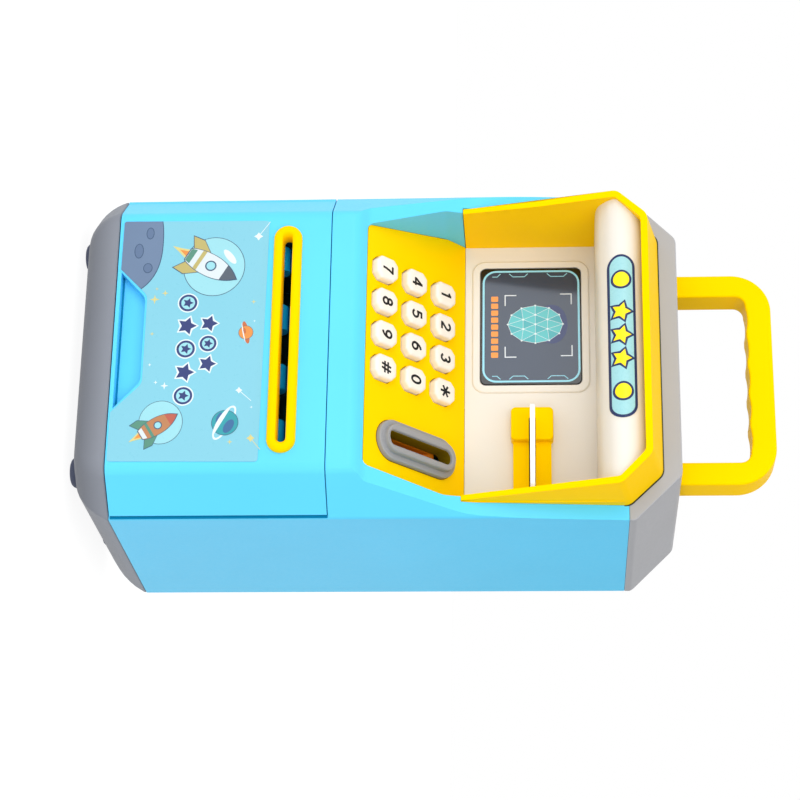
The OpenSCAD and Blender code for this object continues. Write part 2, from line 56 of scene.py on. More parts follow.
# ------------------------------------------------------------------ outlines
def rounded(pts, r=0.0, seg=8, even=False):
    """Closed outline with its corners rounded; a point may carry its own radius as a third number."""
    out, n = [], len(pts)
    for i in range(n):
        p = pts[i]
        ri = p[2] if len(p) > 2 else r
        a, b, c = Vector(pts[i - 1][:2]), Vector(p[:2]), Vector(pts[(i + 1) % n][:2])
        u, v = a - b, c - b
        if ri <= 0 or u.length < 1e-6 or v.length < 1e-6:
            out.append((b.x, b.y)); continue
        lu, lv = u.length, v.length
        u.normalize(); v.normalize()
        ang = u.angle(v)
        if ang > math.pi - 0.02:
            out.append((b.x, b.y)); continue
        d = min(ri / math.tan(ang / 2), 0.495 * lu, 0.495 * lv)
        rr = d * math.tan(ang / 2)
        bis = (u + v).normalized()
        cc = b + bis * (rr / math.sin(ang / 2))
        s, e = b + u * d, b + v * d
        a0, a1 = math.atan2(s.y - cc.y, s.x - cc.x), math.atan2(e.y - cc.y, e.x - cc.x)
        da = (a1 - a0 + math.pi) % (2 * math.pi) - math.pi
        k = seg if even else max(2, int(math.ceil(abs(da) / (math.pi / 2) * seg)))
        for j in range(k + 1):
            t = a0 + da * j / k
            out.append((cc.x + rr * math.cos(t), cc.y + rr * math.sin(t)))
    return out

def stadium(cx, cy, hl, r, seg=16, vertical=False):
    pts = []
    for j in range(seg + 1):
        t = -math.pi / 2 + math.pi * j / seg
        pts.append((hl - r + r * math.cos(t), r * math.sin(t)))
    for j in range(seg + 1):
        t = math.pi / 2 + math.pi * j / seg
        pts.append((-(hl - r) + r * math.cos(t), r * math.sin(t)))
    if vertical:
        pts = [(-b, a) for a, b in pts]
    return [(cx + a, cy + b) for a, b in pts]

def rrect(x0, y0, x1, y1, r, seg=8):
    return rounded([(x0, y0), (x1, y0), (x1, y1), (x0, y1)], r, seg)

def circle(cx, cy, r, n=48):
    return [(cx + r * math.cos(2 * math.pi * i / n), cy + r * math.sin(2 * math.pi * i / n)) for i in range(n)]

# ------------------------------------------------------------------ meshes
def to3(axis, a, b, h):
    return {"x": (h, a, b), "y": (a, h, b), "z": (a, b, h)}[axis]

def link(name, me):
    o = bpy.data.objects.new(name, me)
    bpy.context.scene.collection.objects.link(o)
    return o

def from_bm(name, bm):
    bmesh.ops.recalc_face_normals(bm, faces=bm.faces)
    me = bpy.data.meshes.new(name)
    bm.to_mesh(me); bm.free()
    return link(name, me)

def prism(name, pts, axis, h0, h1, frame3=None):
    """A closed prism: outline pts in the plane across axis, from h0 to h1. frame3 maps datum points."""
    f = frame3 or M
    clean = []
    for p in pts:
        if not clean or (abs(p[0] - clean[-1][0]) + abs(p[1] - clean[-1][1])) > 1e-5:
            clean.append(p)
    if abs(clean[0][0] - clean[-1][0]) + abs(clean[0][1] - clean[-1][1]) < 1e-5:
        clean.pop()
    bm = bmesh.new()
    lo = [bm.verts.new(f(to3(axis, a, b, h0))) for a, b in clean]
    hi = [bm.verts.new(f(to3(axis, a, b, h1))) for a, b in clean]
    n = len(clean)
    bm.faces.new(lo); bm.faces.new(hi[::-1])
    for i in range(n):
        bm.faces.new((lo[i], hi[i], hi[(i + 1) % n], lo[(i + 1) % n]))
    return from_bm(name, bm)

def rings(name, loops, frame3=None, cap=True):
    """A skin over loops of equal length, in datum millimetres, closed at both ends."""
    f = frame3 or M
    bm = bmesh.new()
    vs = [[bm.verts.new(f(p)) for p in loop] for loop in loops]
    n = len(loops[0])
    for a, b in zip(vs[:-1], vs[1:]):
        for i in range(n):
            bm.faces.new((a[i], b[i], b[(i + 1) % n], a[(i + 1) % n]))
    if cap:
        bm.faces.new(vs[0]); bm.faces.new(vs[-1][::-1])
    return from_bm(name, bm)

def lathe(name, prof, centre, axis="z", n=48, frame3=None):
    """Turned piece: prof is [(radius, height)...], both ends on the axis or closed by caps."""
    f = frame3 or M
    bm = bmesh.new()
    cols = []
    for i in range(n):
        t = 2 * math.pi * i / n
        col = []
        for r, h in prof:
            a, b = r * math.cos(t), r * math.sin(t)
            p = to3(axis, a, b, h)
            col.append((p[0] + centre[0], p[1] + centre[1], p[2] + centre[2]))
        cols.append(col)
    vs = [[bm.verts.new(f(p)) for p in col] for col in cols]
    m = len(prof)
    for i in range(n):
        a, b = vs[i], vs[(i + 1) % n]
        for j in range(m - 1):
            bm.faces.new((a[j], b[j], b[j + 1], a[j + 1]))
    bm.faces.new([v[0] for v in vs]); bm.faces.new([v[-1] for v in vs][::-1])
    bmesh.ops.remove_doubles(bm, verts=bm.verts, dist=1e-7)
    return from_bm(name, bm)

def apply(o):
    dg = bpy.context.evaluated_depsgraph_get()
    me = bpy.data.meshes.new_from_object(o.evaluated_get(dg), preserve_all_data_layers=True, depsgraph=dg)
    o.modifiers.clear()
    old = o.data
    o.data = me
    if old.users == 0:
        bpy.data.meshes.remove(old)
    return o

def drop(o):
    me = o.data
    bpy.data.objects.remove(o)
    if me.users == 0:
        bpy.data.meshes.remove(me)

def boolean(a, b, op="DIFFERENCE", keep=False):
    m = a.modifiers.new("b", "BOOLEAN")
    m.operation, m.solver, m.object = op, "EXACT", b
    apply(a)
    if not keep:
        drop(b)
    return a

def cut(a, *others):
    for b in others:
        boolean(a, b, "DIFFERENCE")
    return a

def join(a, *others):
    for b in others:
        boolean(a, b, "UNION")
    return a

def keep_in(a, *others):
    for b in others:
        boolean(a, b, "INTERSECT")
    return a

def tidy(o, deg=0.3):
    bm = bmesh.new(); bm.from_mesh(o.data)
    bmesh.ops.remove_doubles(bm, verts=bm.verts, dist=2e-6)
    bmesh.ops.dissolve_degenerate(bm, edges=bm.edges, dist=1e-6)
    bmesh.ops.dissolve_limit(bm, angle_limit=math.radians(deg), verts=bm.verts, edges=bm.edges)
    bm.to_mesh(o.data); bm.free()
    return o

def soften(o, width=0.5, angle=30, seg=3, normals=True, clean=True):
    """Rounds the sharp edges and gives the surface even shading."""
    if clean:
        tidy(o)
    if width > 0:
        m = o.modifiers.new("bevel", "BEVEL")
        m.width, m.segments, m.limit_method = width * MM, seg, "ANGLE"
        m.angle_limit = math.radians(angle)
        m.miter_outer = "MITER_ARC"
        m.use_clamp_overlap = True
        m.profile = 0.5
        apply(o)
    smooth(o, normals)
    return o

def smooth(o, normals=True, sharp=40):
    me = o.data
    me.polygons.foreach_set("use_smooth", [True] * len(me.polygons))
    try:
        me.set_sharp_from_angle(angle=math.radians(sharp))
    except Exception:
        pass
    if normals:
        m = o.modifiers.new("wn", "WEIGHTED_NORMAL")
        m.weight, m.keep_sharp, m.mode = 60, True, "FACE_AREA"
        apply(o)
    return o

# ------------------------------------------------------------------ materials
def srgb(r, g, b):
    f = lambda c: (c / 255) / 12.92 if c / 255 <= 0.04045 else ((c / 255 + 0.055) / 1.055) ** 2.4
    return (f(r), f(g), f(b), 1.0)

MATS = {}
def plastic(name, rgb, rough=0.32, spec=0.28, coat=0.0, tint=0.0, sss=0.0, vary=0.03, grain=0.012, grain_scale=900, bump=0.05, metallic=0.0, orange=0.02, sss_rgb=None, ior=1.45, painted_shade_fall=None):
    """Moulded plastic: faint colour drift, fine texture, the slight waviness that gloss shows, roughness that varies."""
    m = bpy.data.materials.new(name)
    m.use_nodes = True
    nt = m.node_tree
    N, L = nt.nodes, nt.links
    bsdf = N["Principled BSDF"]
    bsdf.inputs["Metallic"].default_value = metallic
    bsdf.inputs["IOR"].default_value = ior
    bsdf.inputs["Specular IOR Level"].default_value = spec
    if tint > 0:
        c = srgb(*rgb)
        bsdf.inputs["Specular Tint"].default_value = tuple(1 - tint + tint * v for v in c[:3]) + (1.0,)
    bsdf.inputs["Coat Weight"].default_value = coat
    bsdf.inputs["Coat Roughness"].default_value = 0.12
    if sss > 0:
        bsdf.inputs["Subsurface Weight"].default_value = sss
        bsdf.inputs["Subsurface Radius"].default_value = sss_rgb or (1.0, 0.8, 0.6)
        bsdf.inputs["Subsurface Scale"].default_value = 0.0015
    geo = N.new("ShaderNodeTexCoord")
    cloud = N.new("ShaderNodeTexNoise"); cloud.inputs["Scale"].default_value = 22; cloud.inputs["Detail"].default_value = 3
    fine = N.new("ShaderNodeTexNoise"); fine.inputs["Scale"].default_value = grain_scale; fine.inputs["Detail"].default_value = 2
    wave = N.new("ShaderNodeTexNoise"); wave.inputs["Scale"].default_value = 60; wave.inputs["Detail"].default_value = 1
    for t in (cloud, fine, wave):
        L.new(geo.outputs["Object"], t.inputs["Vector"])
    base = srgb(*rgb)
    ramp = N.new("ShaderNodeValToRGB")
    ramp.color_ramp.elements[0].position, ramp.color_ramp.elements[1].position = 0.3, 0.7
    d = 1 - vary
    ramp.color_ramp.elements[0].color = (base[0] * d, base[1] * d, base[2] * d, 1)
    ramp.color_ramp.elements[1].color = tuple(min(1.0, c * (1 + vary * 0.4)) for c in base[:3]) + (1,)
    L.new(cloud.outputs["Fac"], ramp.inputs["Fac"])
    if painted_shade_fall:
        # painted shade: darker towards the foot of the piece
        sep = N.new("ShaderNodeSeparateXYZ"); L.new(geo.outputs["Object"], sep.inputs["Vector"])
        fr = N.new("ShaderNodeMapRange")
        fr.inputs["From Min"].default_value, fr.inputs["From Max"].default_value = painted_shade_fall[0], painted_shade_fall[1]
        fr.inputs["To Min"].default_value, fr.inputs["To Max"].default_value = painted_shade_fall[2], 1.0
        L.new(sep.outputs["Z"], fr.inputs["Value"])
        mx = N.new("ShaderNodeVectorMath"); mx.operation = "SCALE"
        L.new(ramp.outputs["Color"], mx.inputs[0]); L.new(fr.outputs["Result"], mx.inputs["Scale"])
        L.new(mx.outputs["Vector"], bsdf.inputs["Base Color"])
    else:
        L.new(ramp.outputs["Color"], bsdf.inputs["Base Color"])
    rr = N.new("ShaderNodeMapRange")
    rr.inputs["From Min"].default_value, rr.inputs["From Max"].default_value = 0.3, 0.7
    rr.inputs["To Min"].default_value, rr.inputs["To Max"].default_value = rough * 0.9, rough * 1.12
    L.new(fine.outputs["Fac"], rr.inputs["Value"])
    L.new(rr.outputs["Result"], bsdf.inputs["Roughness"])
    add = N.new("ShaderNodeMath"); add.operation = "MULTIPLY_ADD"
    add.inputs[1].default_value = grain
    L.new(fine.outputs["Fac"], add.inputs[0])
    w2 = N.new("ShaderNodeMath"); w2.operation = "MULTIPLY"; w2.inputs[1].default_value = orange
    L.new(wave.outputs["Fac"], w2.inputs[0]); L.new(w2.outputs[0], add.inputs[2])
    bp = N.new("ShaderNodeBump"); bp.inputs["Strength"].default_value = bump; bp.inputs["Distance"].default_value = 0.001
    L.new(add.outputs[0], bp.inputs["Height"]); L.new(bp.outputs["Normal"], bsdf.inputs["Normal"])
    m.diffuse_color = base
    MATS[name] = m
    return m

BLUE = plastic("blue_abs", (90, 204, 246), rough=0.36, spec=0.42, ior=1.34)
TEALIN = plastic("teal_inside", (40, 120, 140), rough=0.5)
YEL = plastic("yellow_abs", (255, 206, 0), rough=0.42, spec=0.4, tint=1.0, ior=1.14)
AMB = plastic("amber_abs", (255, 206, 0), rough=0.42, spec=0.4, tint=1.0, ior=1.14)
CREAM = plastic("cream_abs", (226, 221, 212), rough=0.40, sss=0.03)
KEYM = plastic("key_abs", (240, 232, 221), rough=0.38, sss=0.06)
CAPM = plastic("cap_grey", (165, 166, 170), rough=0.38, ior=1.28)
# base_grey gets painted shade: its colour darkens towards the foot
BASEM = plastic("base_grey", (129, 133, 142), rough=0.40, ior=1.28, painted_shade_fall=(0.0035, 0.0145, 0.62))
FOOTM = plastic("foot_rubber", (66, 72, 92), rough=0.6, grain=0.05, vary=0.06)
BEZM = plastic("bezel_grey", (150, 150, 152), rough=0.42, grain=0.03)
# the chute is yellow plastic; its orange-brown colour is painted shade deep in the slot
CHUTE_SHADE = plastic("chute_painted_shade", (214, 118, 6), rough=0.5)
# yellow darkened to olive: painted shade on the coin slot's inner wall
SLOT_WALL_SHADE = plastic("slot_liner", (112, 92, 8), rough=0.45, tint=1.0)
# painted shadow colour for the dark lines at the door's lip and seams
GAP_SHADOW = plastic("groove_shadow", (3, 124, 168), rough=0.8, spec=0.1)
# painted shadow colour for the dark ring at the hood's root
HOOD_GAP_SHADE = plastic("root_shadow", (52, 58, 40), rough=0.8, spec=0.1)
BROWN = plastic("edge_shadow", (120, 84, 10), rough=0.8, spec=0.1)
LENS = plastic("lens_black", (10, 12, 18), rough=0.08, coat=0.5, grain=0.0, orange=0.01, vary=0.1)
BLACK = plastic("black_inner", (14, 15, 17), rough=0.55, vary=0.1)
ROLL = plastic("roller_rubber", (10, 178, 236), rough=0.6, grain=0.08, vary=0.3)
CARD = plastic("card_white", (250, 250, 249), rough=0.3)
LABEL = plastic("label_film", (124, 190, 208), rough=0.3, vary=0.02)
STEEL = plastic("steel", (178, 180, 184), rough=0.3, metallic=1.0, vary=0.06, grain=0.03)
BOARD = plastic("board_green", (20, 92, 48), rough=0.45, vary=0.12, grain=0.05, grain_scale=400)
GEARM = plastic("gear_white", (232, 230, 222), rough=0.45)
COPPER = plastic("coil_copper", (170, 96, 44), rough=0.4, vary=0.15, metallic=0.6)
CELL = plastic("cell_sleeve", (70, 110, 70), rough=0.35, vary=0.1)
SILI = plastic("silicone", (205, 205, 206), rough=0.6)
NAVY = plastic("ink_navy", (40, 52, 92), rough=0.35, vary=0.05)
BADGE = plastic("badge_film", (152, 203, 208), rough=0.28, vary=0.02)
BADGEY = plastic("ink_yellow", (255, 222, 20), rough=0.32)
INK = plastic("ink_black", (28, 28, 32), rough=0.4, vary=0.1)
SLATE = plastic("screen_slate", (50, 63, 84), rough=0.12, coat=0.4, vary=0.10, orange=0.0, grain=0)
SCYAN = plastic("screen_line", (150, 216, 236), rough=0.2, vary=0.05)
SWHITE = plastic("screen_white", (214, 222, 230), rough=0.2, vary=0.03)
STEAL = plastic("screen_teal", (98, 190, 196), rough=0.2, vary=0.06)
STEAL2 = plastic("screen_teal_dark", (84, 174, 184), rough=0.2, vary=0.06)
SORANGE = plastic("screen_orange", (240, 150, 70), rough=0.2, vary=0.05)
SNAVY = plastic("screen_navy", (66, 76, 116), rough=0.15, vary=0.06)
A_WHITE = plastic("art_white", (214, 226, 230), rough=0.3)
A_MOON = plastic("art_moon", (104, 124, 152), rough=0.32, vary=0.08)
A_MOOND = plastic("art_moon_dark", (92, 112, 142), rough=0.32)
A_LINE = plastic("art_line", (62, 84, 112), rough=0.32)
A_ORANGE = plastic("art_orange", (214, 138, 70), rough=0.32)
A_ORANGE2 = plastic("art_orange_dark", (186, 104, 66), rough=0.32)
A_TEAL = plastic("art_teal", (52, 150, 160), rough=0.32)
A_TEAL2 = plastic("art_teal_dark", (60, 104, 148), rough=0.32)
A_YELLOW = plastic("art_yellow", (206, 196, 128), rough=0.32)
A_RED = plastic("art_red", (176, 92, 76), rough=0.32)
A_GREY = plastic("art_grey", (204, 214, 218), rough=0.32)
A_BUBBLE = plastic("art_bubble", (146, 204, 214), rough=0.3)
A_NAVY = plastic("art_navy", (52, 62, 112), rough=0.32)
A_SLATE = plastic("art_slate", (82, 92, 104), rough=0.32)
A_MUST = plastic("art_mustard", (178, 166, 104), rough=0.32)
A_GREEN = plastic("art_green", (84, 136, 118), rough=0.32)
A_BROWN = plastic("art_brown", (176, 122, 84), rough=0.32)

# ------------------------------------------------------------------ bookkeeping
def dress(o, mat, body, node=None):
    o.data.materials.clear()
    o.data.materials.append(mat)
    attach(o, body)
    if node:
        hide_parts(*([node] if isinstance(node, str) else node))
    return o

def keep(node, mat, width=0.3, angle=30, seg=2):
    """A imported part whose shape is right: softened edges and a material."""
    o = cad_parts[node]
    o.data.materials.clear()
    o.data.materials.append(mat)
    o.data.polygons.foreach_set("use_smooth", [True] * len(o.data.polygons))
    w = o.modifiers.new("weld", "WELD"); w.merge_threshold = 1e-6
    d = o.modifiers.new("planar", "DECIMATE"); d.decimate_type = "DISSOLVE"; d.angle_limit = math.radians(0.5)
    if width > 0:
        b = o.modifiers.new("bevel", "BEVEL")
        b.width, b.segments, b.limit_method, b.angle_limit = width * MM, seg, "ANGLE", math.radians(angle)
        b.use_clamp_overlap = True
    n = o.modifiers.new("wn", "WEIGHTED_NORMAL"); n.weight = 60; n.keep_sharp = True
    return o

# ------------------------------------------------------------------ casing
CL = math.hypot(13.65, 15.7)
IX, IY = (1 - 13.65 / CL) / (15.7 / CL), (1 - 15.7 / CL) / (13.65 / CL)

def plan(t=0.0, rs=3.0, rf=6.0, rr=2.4, tr=None, seg=8):
    tr = t if tr is None else tr
    return rounded([(65 - t, 48.9 - tr, max(rr - t, 0.8)), (-65 + t, 48.9 - tr, max(rr - t, 0.8)), (-65 + t, -39.3 + IY * t, rs), (-51.35 + IX * t, -55 + t, rf),
                    (51.35 - IX * t, -55 + t, rf), (65 - t, -39.3 + IY * t, rs)], 0, seg, True)

PANEL = [(45.5, 0.35, 0), (-45.5, 0.35, 0), (-48.2, 0.6, 2.6), (-57.2, 43.3, 8), (-57.2, 53.0, 0), (57.2, 53.0, 0), (57.2, 43.3, 8), (48.2, 0.6, 2.6)]
KA = math.radians(41.48)
def S(p):
    x, t, n = p
    return M((x, -51 + t * math.cos(KA) - n * math.sin(KA), 93.3 + t * math.sin(KA) + n * math.cos(KA)))

def block(name, x0, y0, z0, x1, y1, z1):
    return prism(name, [(x0, y0), (x1, y0), (x1, y1), (x0, y1)], "z", z0, z1)

def casing():
    prof = rounded([(70, -5), (70, 200), (-35.17, 200), (-40.53, 130.4, 40), (-51, 93.9, 4), (-55, 90.1, 5.5), (-55, -5)], 0, 12)
    def outer(n):
        return keep_in(prism(n, plan(), "z", 0, 189.2), prism("t", prof, "x", -80, 80))
    o = outer("body_shell_v")
    hollow = prism("t", plan(2.4, rs=0.8, rf=3.6), "z", -1, 190)
    keep_in(hollow, prism("t", [(46.5, -2), (46.5, 191), (-33.5, 191), (-38.1, 131), (-39.5, 125.3), (-48.5, 91.5), (-52.6, 90), (-52.6, -2)], "x", -80, 80))
    cut(o, hollow)
    cheek = outer("t")
    keep_in(cheek, prism("t", [(-59.4, 128.3), (-59.4, 121.7), (-50.1, 91.8), (50.1, 91.8), (59.4, 121.7), (59.4, 128.3)], "y", -60, -9.5))
    cut(cheek, block("t", -48.1, -49, 80, 48.1, 0, 93.35))
    join(o, cheek)
    recess = prism("t", rounded([(-48.1, 93.3, 3), (48.1, 93.3, 3), (57.3, 122, 8), (57.3, 128.4), (59.35, 128.4), (59.35, 195), (-59.35, 195), (-59.35, 128.4), (-57.3, 128.4), (-57.3, 122, 8)]), "y", -90, 10)
    cut(o, recess)
    cut(o, prism("t", rounded([(x * 1.003, t if t > 1 else 0.2, r) for x, t, r in PANEL], 0, 8), "z", -2.55, 0.15, S))
    cut(o, block("t", -80, -80, -1, 80, -39.3, 80.4), block("t", -80, -80, -1, -57, -36.1, 80.4))
    cut(o, prism("t", rrect(-56.4, 5.6, 56.4, 183.4, 4), "y", 44, 60))
    soften(o, 0.45, 32, 3)
    dress(o, BLUE, "housing", "body_shell")

def cap():
    pr = rounded([(-65, 189.2), (65, 189.2), (65, 191.5, 2.2), (47.7, 208.8, 4.5), (-47.7, 208.8, 4.5), (-65, 191.5, 2.2)])
    o = prism("top_cap_v", pr, "y", -36, 48.9)
    keep_in(o, prism("t", rounded([(65, 48.9, 2.2), (-65, 48.9, 2.2), (-65, -36), (65, -36)]), "z", 180, 220))
    inner = rounded([(-62.6, 180), (62.6, 180), (62.6, 190.5, 1.5), (46.7, 206.4, 3), (-46.7, 206.4, 3), (-62.6, 190.5, 1.5)])
    cut(o, prism("t", inner, "y", -33.6, 46.5))
    for s in (-1, 1):
        c = s * 38.5
        cut(o, block("t", c - 4.52, -13.02, 200, c + 4.52, -0.38, 215))
    soften(o, 0.9, 32, 4)
    dress(o, CAPM, "housing", "top_cap")

def base_plan(ts, tf, tr):
    tc = (ts + tf) / 2
    cy = -55 + 15.7 + (tc * CL - 15.7 * ts) / 13.65
    cx = 65 - 13.65 - (tc * CL - 13.65 * tf) / 15.7
    rr = 2.4 + 1.1 * tr
    return rounded([(65 - ts, 48.9 - tr, rr), (-65 + ts, 48.9 - tr, rr), (-65 + ts, cy, 3.0), (-cx, -55 + tf, 8.0), (cx, -55 + tf, 8.0), (65 - ts, cy, 3.0)], 0, 8, True)

def base():
    prof = [(0.0, 0.55, 0.5, 0.5), (-0.45, 0.12, 0.08, 0.1), (-1.0, 0.25, 0.02, 0.06), (-2.4, 1.0, 0.1, 0.3), (-4.4, 2.1, 0.5, 0.8), (-6.5, 3.6, 1.3, 1.5), (-8.6, 5.5, 2.5, 2.5),
            (-10.0, 7.2, 3.7, 3.4), (-11.6, 9.6, 5.8, 4.7), (-12.5, 11.6, 7.6, 5.8), (-13.0, 13.2, 9.0, 6.7), (-13.3, 15.0, 10.4, 7.6)]
    o = rings("base_tray_v", [[(x, y, z) for x, y in base_plan(a, b, c)] for z, a, b, c in prof])
    cut(o, block("t", -52, -40, -10.9, 52, 42, 3))
    soften(o, 0.5, 40, 3)
    dress(o, BASEM, "housing", "base_tray")
    for i, (x, y) in enumerate([(-44, -33), (44, -33), (44, 33), (-44, 33)]):
        f = lathe("foot_v%d" % i, [(0.02, -16.3), (3.3, -16.3), (4.0, -16.15), (4.8, -15.8), (5.4, -15.2), (5.8, -14.5), (6.0, -13.7), (6.0, -13.3), (0.02, -13.3)], (x, y, 0))
        smooth(f, True, 60)
        dress(f, FOOTM, "housing", "feet")

# hood
def hood_loop(y, inner=False, grow=0.0):
    if not inner:
        s = (-36.0 - y) / 22.3
        pts = [(59.3 - 2.7 * s, 126, 0), (59.3 - 1.3 * s, 189.4 - 3.4 * s, 4.5), (47.4 - 0.1 * s, 201.8 - 4.4 * s, 5)]
    else:
        s = max(0.0, (-39.3 - y) / 19.0)
        g = grow
        pts = [(57 - 2.8 * s + g, 120, 0), (57 - 1.7 * s + g, 187.8 - 2.4 * s, 2.6), (46 + 0.2 * s + g * 0.4, 199.2 - 4.4 * s + g, 3.2)]
    full = pts + [(-a, b, r) for a, b, r in pts[::-1]]
    return [(a, y, b) for a, b in rounded(full, 0, 8, True)]

def hood():
    o = rings("hood_v", [hood_loop(-36.0), hood_loop(-60.3)])
    cut(o, rings("t", [hood_loop(-35.0, True), hood_loop(-39.3, True), hood_loop(-62, True)]))
    cut(o, prism("t", rounded([(-41.1, 128.6), (-56.6, 186.5, 40), (-58.31, 197.4), (-58.6, 215), (-90, 215), (-90, 110), (-41.1, 110)], 0, 16), "x", -80, 80))
    cut(o, block("t", -80, -80, 110, 80, 0, 128.6))
    for s in (-1, 1):
        c = block("t", min(57 * s, 59.3 * s), -40.2, 128.6, max(57 * s, 59.3 * s), -8.9, 187.4)
        join(o, c)
    soften(o, 0.9, 32, 4)
    dress(o, YEL, "housing", "hood")
    # a thin dark ring at the hood's root: painted shadow in the gap between the hood and the cap
    grown = lambda y: [(a * (1 + 0.38 / 59.3), b_, c + 0.38 * (1 if c > 150 else 0)) for a, b_, c in hood_loop(y)]
    g = rings("hood_root_shadow_line", [grown(-36.14), grown(-35.7)])
    cut(g, rings("t", [hood_loop(-34.0, True, 1.2), hood_loop(-38, True, 1.2)]), block("t", -80, -80, 110, 80, 0, 128.5))
    dress(g, HOOD_GAP_SHADE, "housing", None)

def smooth_open(pts, times=3):
    for _ in range(times):
        q = [pts[0]]
        for a, b in zip(pts[:-1], pts[1:]):
            q.append((a[0] * 0.75 + b[0] * 0.25, a[1] * 0.75 + b[1] * 0.25))
            q.append((a[0] * 0.25 + b[0] * 0.75, a[1] * 0.25 + b[1] * 0.75))
        q.append(pts[-1])
        pts = q
    return pts

HEAD = smooth_open([(-46.5, 196.6), (-51.0, 195.4), (-53.9, 192.2), (-54.75, 187.6), (-53.2, 184.0), (-50.0, 181.4), (-45.6, 179.2), (-39.0, 178.5), (-26, 178.5)], 3) + [(-11.4, 178.5)]

def offset_open(pts, d):
    out = []
    for i, p in enumerate(pts):
        a, b = Vector(pts[max(i - 1, 0)]), Vector(pts[min(i + 1, len(pts) - 1)])
        t = (b - a).normalized()
        out.append((p[0] - t.y * d, p[1] + t.x * d))
    return out

def header():
    inner = offset_open(HEAD, 2.2)[::-1]
    if (Vector(inner[len(inner) // 2]) - Vector((-40, 190))).length > (Vector(HEAD[len(HEAD) // 2]) - Vector((-40, 190))).length:
        inner = offset_open(HEAD, -2.2)[::-1]
    o = prism("header_bar_v", HEAD + inner, "x", -60, 60)
    room = rings("t", [hood_loop(-36.0, True, 0.25), hood_loop(-39.3, True, 0.25), hood_loop(-59, True, 0.25)])
    join(room, block("t", -57.2, -39.1, 120, 57.2, -5, 186.5))
    keep_in(o, room)
    soften(o, 0.0, 32, 2)
    dress(o, CREAM, "housing", "header_bar")
    # badge: a thin plate that follows the bar's nose
    def strip(name, out2d, d0, d1, y0=-62, y1=-46):
        a = [p for p in HEAD if 180.5 < p[1] < 195.5 and p[0] < -47]
        sgn = -1 if offset_open(a, 1)[len(a) // 2][0] > a[len(a) // 2][0] else 1
        s = prism("t", offset_open(a, sgn * d1) + offset_open(a, sgn * d0)[::-1], "x", -40, 40)
        b = prism(name, out2d, "y", y0, y1)
        return keep_in(b, s)
    zc = 187.4
    b = strip("header_badge_v", stadium(0, zc, 32.4, 5.1), -0.6, 0.34)
    soften(b, 0.12, 40, 2)
    dress(b, NAVY, "housing", "header_badge")
    b = strip("badge_face", stadium(0, zc, 31.45, 4.15), 0.1, 0.40)
    soften(b, 0.0, 40, 2)
    dress(b, BADGE, "housing", None)
    for i, x in enumerate((-22.2, 22.2)):
        b = strip("badge_ring%d" % i, circle(x, zc, 3.8), 0.1, 0.44); smooth(b); dress(b, NAVY, "housing", None)
        b = strip("badge_coin%d" % i, circle(x, zc, 2.95), 0.1, 0.50); smooth(b); dress(b, BADGEY, "housing", None)
    star = lambda x, r, q: [(x + (r if i % 2 == 0 else r * q) * math.sin(math.pi * i / 5), zc - 0.25 + (r if i % 2 == 0 else r * q) * math.cos(math.pi * i / 5)) for i in range(10)]
    for k, x in enumerate((-9.3, 0.0, 9.3)):
        b = strip("badge_star_edge%d" % k, star(x, 4.9, 0.58), 0.1, 0.44); smooth(b); dress(b, NAVY, "housing", None)
        b = strip("badge_star%d" % k, star(x, 3.65, 0.52), 0.1, 0.50); smooth(b); dress(b, BADGEY, "housing", None)

def fascia():
    o = prism("fascia_v", [(-57, 128.5), (57, 128.5), (57, 178.6), (-57, 178.6)], "y", -11.3, -8.9)
    fr = prism("t", rrect(-50.7, 131.2, 4.7, 176.3, 5), "y", -12.1, -10.0)
    soften(fr, 0.7, 40, 4, normals=False)
    join(o, fr)
    cut(o, prism("t", rrect(-47.75, 134.15, 1.75, 173.35, 2.4), "y", -13, -10.6))
    cut(o, prism("t", rrect(-45.6, 136.4, -0.4, 171.1, 1.5), "y", -14, -5))
    cut(o, block("t", 16.05, -20, 151.65, 53.95, 0, 157.15))
    soften(o, 0.22, 40, 2)
    dress(o, CREAM, "housing", "fascia")

def flat(name, pts, y, mat, thick=0.03, body="housing"):
    """A printed patch: a very thin plate in front of plane y."""
    o = prism(name, pts, "y", y - thick, y + 0.01)
    dress(o, mat, body, None)
    return o

def band2d(pts, w):
    """Closed outline of an open stroke of width w."""
    l, r = [], []
    for i, p in enumerate(pts):
        a, b = Vector(pts[max(i - 1, 0)]), Vector(pts[min(i + 1, len(pts) - 1)])
        t = (b - a).normalized()
        k = 1.0
        if 0 < i < len(pts) - 1:
            t0, t1 = (Vector(p) - a).normalized(), (b - Vector(p)).normalized()
            k = 1 / max(0.5, math.cos(t0.angle(t1) / 2))
        n = Vector((-t.y, t.x)) * (w / 2 * k)
        l.append((p[0] + n.x, p[1] + n.y)); r.append((p[0] - n.x, p[1] - n.y))
    return l + r[::-1]

def merge(name, parts, mat, body):
    """Several small printed bits as one piece."""
    bm = bmesh.new()
    for p in parts:
        bm.from_mesh(p.data)
    me = bpy.data.meshes.new(name); bm.to_mesh(me); bm.free()
    for p in parts:
        drop(p)
    o = link(name, me)
    return dress(o, mat, body, None)

